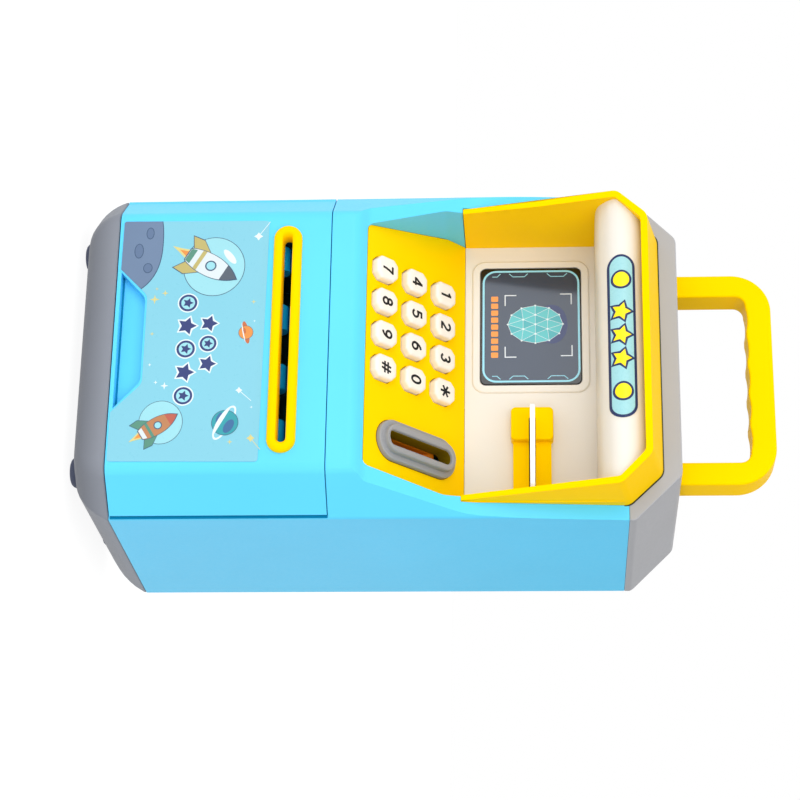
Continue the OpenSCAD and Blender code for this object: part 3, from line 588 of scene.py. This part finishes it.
def screen():
    o = prism("screen_lens_v", rrect(-47.5, 134.4, 1.5, 173.1, 2.1), "y", -12.2, -10.65)
    soften(o, 0.35, 40, 3)
    dress(o, LENS, "housing", "screen_lens")
    x0, z1, Y = -47.5, 173.1, -12.2
    X = lambda a: x0 + a
    Z = lambda b: z1 - b
    flat("screen_field", rrect(X(1.7), Z(37.2), X(47.4), Z(1.1), 4.6), Y, SLATE, 0.02)
    ring = prism("t", rrect(X(1.0), Z(37.9), X(48.1), Z(0.5), 5.2), "y", Y - 0.05, Y + 0.01)
    cut(ring, prism("t", rrect(X(1.75), Z(37.15), X(47.35), Z(1.25), 4.5), "y", Y - 1, Y + 1))
    dress(ring, SCYAN, "housing", None)
    ring.name = "screen_border"
    bits = []
    def stroke(pts, w, parts):
        parts.append(prism("t", band2d([(X(a), Z(b)) for a, b in pts], w), "y", Y - 0.05, Y + 0.01))
    for s in (1, -1):
        fx = (lambda a: a) if s == 1 else (lambda a: 49.1 - a)
        stroke([(fx(2.3), 5.2), (fx(3.6), 6.6), (fx(3.6), 11.6), (fx(2.3), 13.0)], 0.28, bits)
        stroke([(fx(2.3), 20.4), (fx(3.6), 21.8), (fx(3.6), 26.2), (fx(2.3), 27.6)], 0.28, bits)
        stroke([(fx(2.3), 31.0), (fx(3.6), 32.3), (fx(3.6), 34.2)], 0.28, bits)
    merge("screen_accents", bits, SCYAN, "housing")
    bits = []
    for cx, cy, sx, sy in ((11.2, 3.7, 1, 1), (37.2, 3.6, -1, 1), (11.6, 29.2, 1, -1), (37.6, 29.2, -1, -1)):
        stroke([(cx, cy + sy * 4.3), (cx, cy), (cx + sx * 4.4, cy)], 0.42, bits)
    merge("screen_corners", bits, SWHITE, "housing")
    # scan target: a plain faceted oval with nodes at its corners
    cx, cy = 23.9, 17.6
    flat("screen_halo", [(X(cx + 8.2 * math.cos(t)), Z(cy - 6.4 - 6.0 * math.sin(t))) for t in [math.pi * 2 * i / 40 for i in range(40)]], Y - 0.012, SNAVY, 0.02)
    outer = [(cx + 7.9 * math.sin(2 * math.pi * i / 12), cy - 10.6 * math.cos(2 * math.pi * i / 12)) for i in range(12)]
    mid = [(cx + 4.0 * math.sin(2 * math.pi * (i + 0.5) / 6), cy - 5.4 * math.cos(2 * math.pi * (i + 0.5) / 6)) for i in range(6)]
    o = prism("screen_target", [(X(a), Z(b)) for a, b in outer], "y", Y - 0.05, Y + 0.01)
    dress(o, STEAL, "housing", None)
    bits, dots, tris = [], [], []
    def line(p, q):
        bits.append(prism("t", band2d([(X(p[0]), Z(p[1])), (X(q[0]), Z(q[1]))], 0.14), "y", Y - 0.075, Y - 0.02))
    def dot(p, r=0.42):
        dots.append(prism("t", circle(X(p[0]), Z(p[1]), r, 16), "y", Y - 0.09, Y - 0.02))
    c = (cx, cy)
    for i in range(6):
        m0, m1 = mid[i], mid[(i + 1) % 6]
        line(m0, m1); line(c, m0)
        for j in (2 * i, 2 * i + 1, 2 * i + 2):
            line(m0, outer[j % 12])
        dot(m0)
        tris.append(prism("t", [(X(a), Z(b)) for a, b in (m0, outer[(2 * i + 1) % 12], outer[(2 * i + 2) % 12])], "y", Y - 0.065, Y - 0.02))
        if i % 2 == 0:
            tris.append(prism("t", [(X(a), Z(b)) for a, b in (c, m0, m1)], "y", Y - 0.065, Y - 0.02))
    for i in range(12):
        line(outer[i], outer[(i + 1) % 12]); dot(outer[i], 0.36)
    dot(c)
    merge("screen_facets", tris, STEAL2, "housing")
    merge("screen_lines", bits, SWHITE, "housing")
    merge("screen_nodes", dots, A_WHITE, "housing")
    bits = []
    for i in range(9):
        a = 12.0 + i * 2.95
        bits.append(prism("t", rounded([(X(a), Z(34.6)), (X(a + 2.2), Z(34.6)), (X(a + 2.2), Z(31.9)), (X(a), Z(31.9))], 0.35, 4), "y", Y - 0.05, Y + 0.01))
    merge("screen_bar", bits, SORANGE, "housing")

def reader():
    o = prism("card_reader_v", rrect(12.7, 146.1, 26, 162.1, 1.8), "y", -17.2, -10.5)
    b = prism("t", [(22, 146.9), (54.6, 146.9), (54.6, 161.3), (22, 161.3)], "y", -14.6, -10.5)
    soften(o, 0.6, 40, 3, normals=False)
    join(o, b)
    join(o, block("t", 16.15, -11.4, 151.75, 53.85, 34, 157.05))
    cut(o, block("t", 17.2, -60, 152.9, 52.8, 32.6, 155.42))
    soften(o, 0.3, 40, 2)
    dress(o, AMB, "housing", "card_reader")
    c = prism("bank_card_v", rrect(17.6, -34.6, 52.4, 24, 3), "z", 153.5, 155.3)
    soften(c, 0.2, 40, 2)
    dress(c, CARD, "card", "bank_card")

# ------------------------------------------------------------------ keypad
KX = [-31.6, -18.35, -5.1, 8.4]
KT = [39.55 - 15.55 * j for j in range(3)]

def key_pts(e, c, r, cx=0.0, cy=0.0, seg=5):
    a, b = 4.65 + e, 5.3 + e
    return rounded([(cx + x, cy + y) for x, y in [(a, c - b), (a, b - c), (a - c, b), (c - a, b), (-a, b - c), (-a, c - b), (c - a, -b), (a - c, -b)]], r, seg, True)

def keypad():
    o = prism("keypad_panel_v", rounded(PANEL, 0, 8), "z", -2.4, 0, S)
    for x in KX:
        for t in KT:
            cut(o, prism("t", key_pts(0.38, 2.35, 1.3, x, t), "z", -4, 2, S))
    cut(o, prism("t", stadium(35.5, 26.7, 18.6, 4.8, vertical=True), "z", -6, 6, S))
    soften(o, 0.25, 40, 2)
    dress(o, YEL, "housing", "keypad_panel")
    names = [["key_1", "key_2", "key_3", "key_star"], ["key_4", "key_5", "key_6", "key_0"], ["key_7", "key_8", "key_9", "key_hash"]]
    signs = [["1", "2", "3", "*"], ["4", "5", "6", "0"], ["7", "8", "9", "#"]]
    prof = [(-0.2, -3.3, 0.8), (0, -3.0, 0.85), (0, 0.0, 0.85), (0, 1.9, 0.85), (-0.05, 2.3, 0.85), (-0.18, 2.65, 0.8), (-0.42, 2.93, 0.75), (-0.8, 3.1, 0.65), (-1.3, 3.18, 0.5), (-2.0, 3.2, 0.4), (-3.0, 3.2, 0.3)]
    for j in range(3):
        for i in range(4):
            n = names[j][i]
            o = rings(n + "_v", [[(x + KX[i], y + KT[j], h) for x, y in key_pts(e, max(0.3, 2.2 + 0.45 * e), r)] for e, h, r in prof], S)
            fl = prism("t", key_pts(1.1, 2.4, 0.6, KX[i], KT[j]), "z", -4.2, -3.2, S)
            join(o, fl)
            join(o, prism("t", circle(KX[i], KT[j], 2.0, 32), "z", -6, -4.0, S))
            smooth(o, True, 35)
            dress(o, KEYM, n + "_body", n)
            sign(n + "_sign", signs[j][i], KX[i], KT[j], n + "_body")

def arc2(cx, cy, r, a0, a1, n=18, ry=None):
    return [(cx + r * math.cos(math.radians(a0 + (a1 - a0) * i / n)), cy + (ry or r) * math.sin(math.radians(a0 + (a1 - a0) * i / n))) for i in range(n + 1)]

SIX = [(0.98, 2.28), (0.2, 1.98), (-0.5, 1.4), (-1.02, 0.6), (-1.32, -0.35), (-1.38, -0.95)]
GLYPH = {
    "0": [arc2(0, 0, 1.42, 90, 450, 40, ry=2.32)],
    "1": [[(-0.95, 1.42), (0.32, 2.3)], [(0.3, 2.74), (0.3, -2.74)]],
    "2": [arc2(-0.02, 0.98, 1.34, 165, -38, 20) + [(-1.18, -2.02)], [(-1.62, -2.32), (1.5, -2.32)]],
    "3": [arc2(-0.05, 1.14, 1.19, 160, -85, 20), arc2(-0.05, -1.04, 1.29, 85, -160, 20)],
    "4": [[(0.72, -2.74), (0.72, 2.7)], [(0.86, 2.5), (-1.42, -0.98)], [(-1.72, -1.12), (1.62, -1.12)]],
    "5": [[(1.3, 2.32), (-1.14, 2.32)], [(-0.92, 2.6), (-1.1, -0.18)], arc2(-0.06, -0.86, 1.44, 140, -152, 22)],
    "6": [arc2(0, -0.94, 1.38, 90, 450, 36), SIX],
    "7": [[(-1.48, 2.32), (1.6, 2.32)], [(1.32, 2.5), (0.4, 0.5), (-0.1, -1.2), (-0.28, -2.74)]],
    "8": [arc2(0, 1.2, 1.12, 90, 450, 32), arc2(0, -1.02, 1.32, 90, 450, 36)],
    "9": [arc2(0, 0.94, 1.38, 90, 450, 36), [(-a, -b) for a, b in SIX]],
    "*": [[(2.5 * math.cos(math.radians(a)), 2.5 * math.sin(math.radians(a))), (-2.5 * math.cos(math.radians(a)), -2.5 * math.sin(math.radians(a)))] for a in (90, 30, 150)],
    "#": [[(d - 0.42, -2.45), (d + 0.42, 2.45)] for d in (-0.85, 0.85)] + [[(-2.35, d), (2.35, d)] for d in (-0.85, 0.85)],
}

def sign(name, ch, cx, cy, body):
    """A printed digit on a key: bold strokes, laid on the key's top."""
    w = {"*": 0.88, "#": 0.80}.get(ch, 0.92)
    bm = bmesh.new()
    for k, line in enumerate(GLYPH[ch]):
        closed = len(line) > 30
        pts = [(cx + 0.4 + a * 0.97, cy - 0.35 + b * (0.96 if ch != "*" else 1.0)) for a, b in line]
        if closed:
            # a ring, as two loops
            n = len(pts) - 1
            mx, my = sum(p[0] for p in pts[:-1]) / n, sum(p[1] for p in pts[:-1]) / n
            out, inn = [], []
            for i in range(n):
                a, b = Vector(pts[(i - 1) % n]), Vector(pts[(i + 1) % n])
                t = (b - a).normalized()
                nn = Vector((t.y, -t.x)) * (w / 2)
                if (pts[i][0] - mx) * nn.x + (pts[i][1] - my) * nn.y < 0:
                    nn = -nn
                out.append((pts[i][0] + nn.x, pts[i][1] + nn.y)); inn.append((pts[i][0] - nn.x, pts[i][1] - nn.y))
            t = prism("t", out, "z", 2.9, 3.27, S)
            cut(t, prism("t", inn, "z", 2.0, 4.0, S))
        else:
            t = prism("t", band2d(pts, w), "z", 2.9, 3.27 + 0.003 * k, S)
        bm.from_mesh(t.data); drop(t)
    me = bpy.data.meshes.new(name); bm.to_mesh(me); bm.free()
    o = link(name, me)
    dress(o, INK, body, None)

def tube(name, sections, frame3, centre, seg=24, vertical=False):
    """A ring whose cross-section runs through sections (half length, half width, height)."""
    f = frame3 or M
    bm = bmesh.new()
    loops = []
    for hl, r, h in sections:
        pts = stadium(0, 0, hl, r, seg, vertical)
        loops.append([bm.verts.new(f(centre(a, b, h))) for a, b in pts])
    n = len(loops[0])
    for k in range(len(loops)):
        a, b = loops[k], loops[(k + 1) % len(loops)]
        for i in range(n):
            bm.faces.new((a[i], b[i], b[(i + 1) % n], a[(i + 1) % n]))
    return from_bm(name, bm)

def arc_pts(cx, cy, r, a0, a1, n):
    return [(cx + r * math.cos(math.radians(a0 + (a1 - a0) * i / n)), cy + r * math.sin(math.radians(a0 + (a1 - a0) * i / n))) for i in range(n + 1)]

def coin():
    # a two-step moulded ring round the slot, with the yellow panel's own wall inside it, coloured dark olive as painted
    # shade
    arc = lambda hl, r, n, q=0.6: [(hl - q + q * math.cos(math.radians(a)), r - q + q * math.cos(math.radians(a)), n - q + q * math.sin(math.radians(a)), 0.0) for a in (0, 22, 45, 67, 90)]
    sec = [(18.4, 4.7, -2.4, 0), (18.4, 4.7, 0.02, 0), (19.9, 7.8, 0.02, 0), (19.9, 7.8, 0.05, 0)]
    sec += arc(19.9, 7.8, 1.95)
    sec += [(18.2, 5.95, 1.95, 0), (17.95, 5.7, 2.0, 0), (17.85, 5.6, 2.3, 0)]
    sec += arc(17.85, 5.6, 4.35, 0.8)
    sec += [(16.95, 3.5, 4.35, -0.8), (16.6, 3.1, 4.25, -0.8), (16.42, 2.85, 3.95, -0.8), (16.4, 2.75, 3.4, -0.8), (16.4, 2.75, -2.4, -0.8)]
    def ring(name, sec):
        bm = bmesh.new()
        loops = []
        for hl, r, h, dt in sec:
            loops.append([bm.verts.new(S(((35.5 if dt else 35.3) + a, 26.7 + dt + b, h))) for a, b in stadium(0, 0, hl, r, 24, True)])
        n = len(loops[0])
        for k in range(len(loops)):
            a, b = loops[k], loops[(k + 1) % len(loops)]
            for i in range(n):
                bm.faces.new((a[i], b[i], b[(i + 1) % n], a[(i + 1) % n]))
        return from_bm(name, bm)
    o = ring("coin_bezel_v", sec)
    smooth(o, True, 50)
    dress(o, BEZM, "housing", "coin_bezel")
    # the slot's inner wall is yellow darkened to olive: painted shade
    l = ring("coin_slot_liner", [(16.4, 2.74, 3.2, -0.8), (16.15, 2.5, 3.2, -0.8), (16.15, 2.5, -2.4, -0.8), (16.4, 2.74, -2.4, -0.8)])
    smooth(l, True, 50)
    dress(l, SLOT_WALL_SHADE, "housing", None)
    g = ring("coin_bezel_shadow_line", [(20.2, 8.1, 0.0, 0), (20.2, 8.1, 0.06, 0), (19.7, 7.6, 0.06, 0), (19.7, 7.6, 0.0, 0)])
    dress(g, BROWN, "housing", None)

# ------------------------------------------------------------------ door
def notch(m=0.0, r1=4.5, r2=3.0, z0=-2.0):
    # finger notch, mouth downwards; the foot flares softly
    return rounded([(-29.35 - m, z0, 0), (29.35 + m, z0, 0), (29.35 + m, 0.1, 0), (17.0 + m, 11.4 + m, r1), (-17.0 - m, 11.4 + m, r1), (-29.35 - m, 0.1, 0)], 0, 10)

def door():
    g = 0.9
    gx = 13.65 * g / 15.7
    out = [(65 - gx, -39.3 - g, 0.3), (51.35, -55, 6.0), (-51.35, -55, 6.0), (-63.35, -41.2, 0)]
    inn = [(-61.4, -39.5, 0), (-50.26, -52.6, 3.6), (50.26, -52.6, 3.6), (61.02, -40.2, 0.2)]
    ring = rounded([(a, b, r) for a, b, r in (out + inn)][::-1], 0, 12)
    o = prism("front_door_v", ring, "z", 0.4, 80.0)
    join(o, prism("t", circle(-61.4, -39.5, 3.0, 40), "z", 0.4, 80.0))
    for z in (0.4, 77.6):
        join(o, prism("t", [(-50.3, -53.2), (50.3, -53.2), (57, -45), (-44, -45)], "z", z, z + 2.4))
    join(o, prism("t", notch(1.8), "y", -53.2, -48.8))
    cut(o, block("t", -80, -80, -20, 80, 0, 0.4))
    cut(o, prism("t", notch(0), "y", -60, -50.4))
    join(o, prism("t", [(-30.5, 0.4), (30.5, 0.4), (28.4, 1.85), (-28.4, 1.85)], "y", -54.85, -50.0))
    cut(o, prism("t", stadium(0, 64, 43.3, 3.9), "y", -70, -50))
    cut(o, prism("t", circle(-61.4, -39.5, 1.55, 32), "z", -1, 10.4), prism("t", circle(-61.4, -39.5, 1.55, 32), "z", 70, 90))
    soften(o, 0.55, 32, 3)
    dress(o, BLUE, "door", "front_door")
    # dark strips painted as shadow: the contact line under the door's lip and the seams round the door
    o = block("door_lip_shadow_line", -27.6, -50.75, 1.86, 27.6, -50.3, 2.5)
    dress(o, GAP_SHADOW, "door", None)
    o = block("door_seam_side", 62.5, -39.5, 0.5, 64.72, -39.28, 80.1)
    dress(o, GAP_SHADOW, "housing", None)
    o = prism("door_seam_top", plan(0.7), "z", 80.12, 80.42)
    cut(o, prism("t", plan(2.3), "z", 79, 82), block("t", -80, -39.6, 79, 80, 80, 82))
    dress(o, GAP_SHADOW, "housing", None)
    sec = [(43.2, 3.8, -51.2), (43.2, 3.8, -54.98), (45.4, 5.3, -54.98)]
    sec += [(43.4 + 2.0 * math.cos(math.radians(a)) * 1.0, 3.3 + 2.0 * math.cos(math.radians(a)), -55.5 - 1.9 * math.sin(math.radians(a))) for a in (0, 15, 30, 45, 60, 75, 90, 105, 120, 135)]
    sec += [(41.45, 2.0, -55.95), (41.2, 1.8, -55.2), (41.1, 1.72, -54.4), (40.9, 1.6, -51.2)]
    o = tube("note_bezel_v", sec, M, lambda a, b, h: (a, h, 64 + b), 24)
    smooth(o, True, 50)
    dress(o, YEL, "door", "note_bezel")

def label():
    Y = -55.0
    rot = math.radians(-0.5)
    def R(a, b):
        return (a * math.cos(rot) - b * math.sin(rot), 28 + (a * math.sin(rot) + b * math.cos(rot)))
    o = prism("door_label_v", rounded([(*R(-48.2, -26.6), 1.0), (*R(48.4, -26.6), 1.0), (*R(48.4, 28.3), 1.2), (*R(-48.2, 28.3), 1.2)]), "y", Y - 0.22, Y + 0.02)
    cut(o, prism("t", notch(0.75, z0=-6), "y", -60, -50))
    tidy(o); smooth(o)
    dress(o, LABEL, "door", "door_label")
    Yl = Y - 0.22
    groups = {}
    clip = []
    def add(key, pts, level=1):
        groups.setdefault(key, []).append(prism("t", pts, "y", Yl - 0.02 * level, Yl + 0.01))
    def blob(key, cx, cz, rx, rz=None, level=1, n=40, a0=0, a1=360, tilt=0):
        rz = rz or rx
        t = math.radians(tilt)
        pts = []
        for i in range(n):
            a = math.radians(a0 + (a1 - a0) * i / n)
            u, v = rx * math.cos(a), rz * math.sin(a)
            pts.append((cx + u * math.cos(t) - v * math.sin(t), cz + u * math.sin(t) + v * math.cos(t)))
        add(key, pts, level)
    def spark(key, cx, cz, r, level=1, q=0.3, tilt=0):
        pts = []
        for i in range(8):
            a = math.radians(tilt + 45 * i)
            rr = r if i % 2 == 0 else r * q
            pts.append((cx + rr * math.cos(a), cz + rr * math.sin(a)))
        add(key, pts, level)
    # moon in the lower left corner, cut by the label's edge and the notch
    def clipped(key, pts, level):
        p = prism("t", pts, "y", Yl - 0.02 * level, Yl + 0.01)
        keep_in(p, prism("t", rounded([(*R(-48.2, -26.6), 1.0), (*R(48.4, -26.6), 1.0), (*R(48.4, 28.3), 1.2), (*R(-48.2, 28.3), 1.2)]), "y", -60, -50))
        cut(p, prism("t", notch(0.75, z0=-6), "y", -60, -50))
        groups.setdefault(key, []).append(p)
    def moon(r):
        pts = []
        for i in range(90):
            t = 2 * math.pi * i / 90
            c, d = math.cos(t), math.sin(t)
            pts.append((-40 + (23 + r) * math.copysign(abs(c) ** 0.8, c), -4 + (20.8 + r) * math.copysign(abs(d) ** 0.8, d)))
        return pts
    clipped("line", moon(0.3), 1); clipped("moon", moon(0.0), 2)
    for cx, cz, rx, rz in ((-43.3, 11.9, 2.3, 1.35), (-36.0, 8.0, 2.9, 1.6), (-28.9, 11.7, 1.9, 1.6)):
        blob("line", cx, cz, rx + 0.15, rz + 0.15, 3); blob("moon_dark", cx, cz, rx - 0.15, rz - 0.12, 4)
    # orange planet with a ring
    blob("orange_dark", -2.2, 49.6, 4.6, 1.15, 1, tilt=12); blob("line", -2.2, 49.6, 2.75, 2.75, 2); blob("orange", -2.2, 49.6, 2.6, 2.6, 3)
    blob("orange_dark", -2.9, 49.1, 1.2, 0.5, 4, tilt=12)
    blob("white", -2.2, 48.9, 4.2, 0.5, 4, a0=190, a1=350, tilt=12)
    # teal planet with a ring
    blob("white", 33.5, 43.2, 7.4, 2.6, 1, tilt=-28); blob("label2", 33.5, 43.2, 6.6, 1.9, 2, tilt=-28)
    blob("line", 33.5, 43.4, 4.95, 4.95, 3); blob("teal", 33.5, 43.4, 4.75, 4.75, 4); blob("teal_dark", 34.9, 44.8, 2.9, 1.6, 5, tilt=-30); blob("teal_dark", 31.6, 41.2, 2.2, 0.9, 5, tilt=-20)
    blob("white", 33.5, 43.2, 7.4, 2.6, 6, a0=200, a1=340, tilt=-28)
    # comets and stars
    for x, z, r, dx, dz, key in ((-41.5, 52.8, 1.7, -6.0, 4.2, "white"), (20.8, 48.0, 1.3, 4.2, 4.6, "white"), (39.6, 53.0, 1.5, 4.4, 3.6, "yellow")):
        spark(key, x, z, r, 2, 0.55)
        add(key, band2d([(x, z), (x + dx, z + dz)], 0.22), 1)
    for x, z, r, key in ((41.0, 45.5, 1.0, "yellow"), (-18.5, 18.8, 1.3, "yellow"), (-16.0, 15.0, 1.9, "yellow"), (-20.3, 15.6, 0.7, "yellow"), (18.8, 20.5, 1.5, "white"),
                         (17.4, 17.2, 0.8, "white"), (-6.8, 52.6, 0.5, "white"), (3.0, 24.5, 0.9, "white"), (-14.6, 52.0, 0.9, "yellow"), (10.4, 14.6, 0.7, "white"), (-2.0, 14.8, 0.8, "yellow"), (27.5, 52.8, 0.6, "white")):
        spark(key, x, z, r, 2)
    # a small rocket on the left, in place of any figure
    def placed(pts, cx, cz, tilt, k=1.0):
        t = math.radians(tilt)
        return [(cx + k * (a * math.cos(t) - b * math.sin(t)), cz + k * (a * math.sin(t) + b * math.cos(t))) for a, b in pts]
    body = smooth_open([(0, 13), (2.6, 9.6), (4.3, 4.5), (4.4, -1.5), (3.2, -6.5), (2.4, -7.6)], 2)
    hull = body + [(-a, b) for a, b in body[::-1]]
    def rocket(cx, cz, tilt, k, cols):
        main, top, side, band = cols
        grow = lambda pts, g: [(a * g, b * g) for a, b in pts]
        fin = [(3.6, 0.5), (7.6, -5.2), (7.2, -9.6), (2.6, -6.6)]
        for s in (1, -1):
            f = [(a * s, b) for a, b in fin]
            add("line", placed([((a - 4.9 * s) * 1.12 + 4.9 * s, (b + 5) * 1.1 - 5) for a, b in f], cx, cz, tilt, k), 3)
            add(side, placed(f, cx, cz, tilt, k), 4)
        add("yellow", placed([(-2.0, -7.6), (2.0, -7.6), (0.9, -11.0), (0, -14.4), (-0.9, -11.0)], cx, cz, tilt, k), 3)
        add("orange", placed([(-1.2, -7.6), (1.2, -7.6), (0, -11.4)], cx, cz, tilt, k), 4)
        add("line", placed(grow(hull, 1.05), cx, cz, tilt, k), 5)
        add(main, placed(hull, cx, cz, tilt, k), 6)
        nose = [p for p in hull if p[1] > 6.6]
        add(top, placed(nose, cx, cz, tilt, k), 7)
        win = [(2.1 * math.cos(2 * math.pi * i / 30), 2.2 + 2.1 * math.sin(2 * math.pi * i / 30)) for i in range(30)]
        add("line", placed(win, cx, cz, tilt, k), 7)
        add("bubble", placed([(a * 0.76, (b - 2.2) * 0.76 + 2.2) for a, b in win], cx, cz, tilt, k), 8)
        add(band, placed([(-3.1, -5.4), (3.1, -5.4), (2.5, -7.5), (-2.5, -7.5)], cx, cz, tilt, k), 7)
        add(side, placed([(-4.2, -1.9), (4.2, -1.9), (3.9, -3.4), (-3.9, -3.4)], cx, cz, tilt, k), 7)
    # a pale moon disc behind each rocket
    blob("line", -29.2, 36.6, 12.1, 11.6, 1, n=60); blob("bubble", -29.2, 36.6, 11.85, 11.35, 2, n=60)
    blob("white", -33.2, 42.4, 3.6, 1.3, 3, tilt=38)
    blob("line", 33.2, 19.9, 8.5, 8.1, 1, n=60); blob("bubble", 33.2, 19.9, 8.3, 7.9, 2, n=60)
    rocket(-30.6, 33.4, -30, 1.02, ("grey", "slate", "mustard", "green"))
    rocket(35.2, 17.6, 32, 0.74, ("brown", "red", "green", "grey"))
    # two rows of plain discs and stars in the middle
    def token(x, z, r, star):
        five = lambda q, k: [(x + (k if i % 2 == 0 else k * q) * math.sin(math.pi * i / 5), z + (k if i % 2 == 0 else k * q) * math.cos(math.pi * i / 5)) for i in range(10)]
        if star:
            add("white", five(0.60, r * 1.32), 1); add("navy", five(0.52, r * 1.08), 2)
        else:
            blob("white", x, z, r + 0.5, level=1); blob("navy", x, z, r, level=2); blob("bubble", x, z, r - 0.85, level=3); add("navy", five(0.5, (r - 0.85) * 0.82), 4)
    for k, x in enumerate((-6.0, 2.1, 10.2)):
        token(x, 35.8, 3.1, k != 1)
    for k, x in enumerate((-14.4, -5.1, 4.2, 13.5, 22.8)):
        token(x, 27.6, 3.4, k % 2 == 1)
    mats = {"white": A_WHITE, "moon": A_MOON, "moon_dark": A_MOOND, "line": A_LINE, "orange": A_ORANGE, "orange_dark": A_ORANGE2, "teal": A_TEAL, "teal_dark": A_TEAL2,
            "yellow": A_YELLOW, "red": A_RED, "grey": A_GREY, "label2": LABEL, "bubble": A_BUBBLE, "navy": A_NAVY, "slate": A_SLATE, "mustard": A_MUST, "green": A_GREEN, "brown": A_BROWN}
    for k, parts in groups.items():
        merge("label_" + k, parts, mats[k], "door")

def handle():
    out = rounded([(-43, 202.4, 0), (43, 202.4, 0), (43, 245.5, 15), (-43, 245.5, 15)], 0, 20)
    o = prism("handle_v", out, "y", -13, -0.4)
    top, w, r = 235.85, 34.0, 4.0
    inn = [(-w, 190), (w, 190), (w, top - r)] + [(w - r + r * math.cos(a), top - r + r * math.sin(a)) for a in [math.pi / 2 * i / 8 for i in range(1, 9)]]
    n = 160
    for i in range(1, n):
        x = 30.0 - 60.0 * i / n
        d = abs(((x / 12.3 + 0.5) % 1.0) - 0.5) * 12.3
        inn.append((x, top + max(0.0, math.sqrt(441 - d * d) - 20.42)))
    inn += [(-w + r - r * math.sin(a), top - r + r * math.cos(a)) for a in [math.pi / 2 * i / 8 for i in range(0, 9)]]
    cut(o, prism("t", inn, "y", -20, 5))
    soften(o, 0.9, 32, 4)
    dress(o, YEL, "housing", "handle")

casing(); cap(); base(); hood(); header(); fascia(); screen(); reader(); keypad(); coin(); door(); label(); handle()

keep("rear_cover", BLUE, 0.3); keep("battery_cover", BLUE, 0.25)
keep("case_screws", STEEL, 0.1); keep("battery_screw", STEEL, 0.1); keep("hinge_pins", STEEL, 0.2); keep("latch_bolt", STEEL, 0.25)
# coin_chute takes the orange-brown colour that is painted shade
keep("coin_chute", CHUTE_SHADE, 0.2); keep("display_panel", BLACK, 0.2); keep("key_membrane", SILI, 0.2); keep("keypad_board", BOARD, 0.15)
keep("main_board", BOARD, 0.15); keep("speaker", BLACK, 0.3); keep("battery_box", BLACK, 0.3); keep("batteries", CELL, 0.4)
keep("lock_solenoid", COPPER, 0.4); keep("latch_guide", BLACK, 0.2); keep("cash_bin", TEALIN, 0.3); keep("power_switch", BLACK, 0.2); keep("switch_knob", BLACK, 0.3)
keep("roller_frame", TEALIN, 0.25); keep("roller_motor", STEEL, 0.3); keep("door_keeper", BLACK, 0.2); keep("drive_roller", ROLL, 0.25); keep("idler_roller", ROLL, 0.25)
keep("roller_gear", GEARM, 0.08); keep("motor_pinion", GEARM, 0.08)

# ------------------------------------------------------------------ camera, floor and light
def studio():
    az, el, roll = math.radians(22.493), math.radians(3.738), math.radians(-0.52)
    back = Vector((math.sin(az) * math.cos(el), -math.cos(az) * math.cos(el), math.sin(el)))
    fwd = -back
    right = fwd.cross(Vector((0, 0, 1))).normalized()
    up = right.cross(fwd)
    R = right * math.cos(roll) + up * math.sin(roll)
    U = -right * math.sin(roll) + up * math.cos(roll)
    cam = bpy.data.cameras.new("view")
    cam.sensor_width, cam.sensor_fit = 36.0, "HORIZONTAL"
    cam.lens = 2351.1 / 800 * 36.0
    co = bpy.data.objects.new("view", cam)
    bpy.context.scene.collection.objects.link(co)
    # the object lies across the frame: its up points right in the picture
    X, Y, Z = U, -R, back
    m = Matrix.Identity(4)
    for i in range(3):
        m[i][0], m[i][1], m[i][2] = X[i], Y[i], Z[i]
    m.translation = M((349.80, -839.05, 162.265))
    co.matrix_world = m
    cam.clip_start, cam.clip_end = 0.05, 20
    bpy.context.scene.camera = co

    floor = prism("floor", [(-3000, -3000), (3000, -3000), (3000, 3000), (-3000, 3000)], "z", -20, -16.3)
    fm = plastic("floor_white", (110, 110, 110), rough=0.8, spec=0.1, vary=0.004)
    fb = fm.node_tree.nodes["Principled BSDF"]
    fb.inputs["Emission Color"].default_value = (1, 1, 1, 1)
    fb.inputs["Emission Strength"].default_value = 0.9
    floor.data.materials.append(fm)

    w = bpy.data.worlds.new("studio")
    bpy.context.scene.world = w
    w.use_nodes = True
    w.node_tree.nodes["Background"].inputs[0].default_value = (1, 1, 1, 1)
    # a white room, dimmer on the side that the right wall faces
    wn, wl = w.node_tree.nodes, w.node_tree.links
    tc = wn.new("ShaderNodeTexCoord")
    dot = wn.new("ShaderNodeVectorMath"); dot.operation = "DOT_PRODUCT"
    dot.inputs[1].default_value = (0.958, 0.287, 0.0)
    wl.new(tc.outputs["Generated"], dot.inputs[0])
    mr = wn.new("ShaderNodeMapRange")
    mr.inputs["From Min"].default_value, mr.inputs["From Max"].default_value = 0.12, 0.72
    mr.inputs["To Min"].default_value, mr.inputs["To Max"].default_value = 1.0, 0.34
    wl.new(dot.outputs["Value"], mr.inputs["Value"])
    wl.new(mr.outputs["Result"], wn["Background"].inputs[1])

    def area(name, loc, target, sx, sy, power, col=(1, 1, 1)):
        l = bpy.data.lights.new(name, "AREA")
        l.shape, l.size, l.size_y, l.energy, l.color = "RECTANGLE", sx, sy, power, col
        o = bpy.data.objects.new(name, l)
        bpy.context.scene.collection.objects.link(o)
        loc, target = Vector(loc), Vector(target)
        o.location = loc
        o.rotation_euler = (target - loc).to_track_quat("-Z", "Y").to_euler()
        return o
    c = (0, 0, 0.13)
    area("key", (0.62, -1.05, 0.55), c, 1.0, 0.9, 7.0)
    area("fill", (-0.52, -1.25, 0.22), c, 0.8, 0.42, 2.8)
    area("top", (0.0, -0.3, 1.3), c, 1.2, 1.2, 1.4)
    sc = bpy.context.scene
    sc.view_settings.view_transform = "Standard"
    sc.view_settings.look = "None"
    sc.view_settings.exposure = 0.0

studio()
bpy.context.view_layer.update()
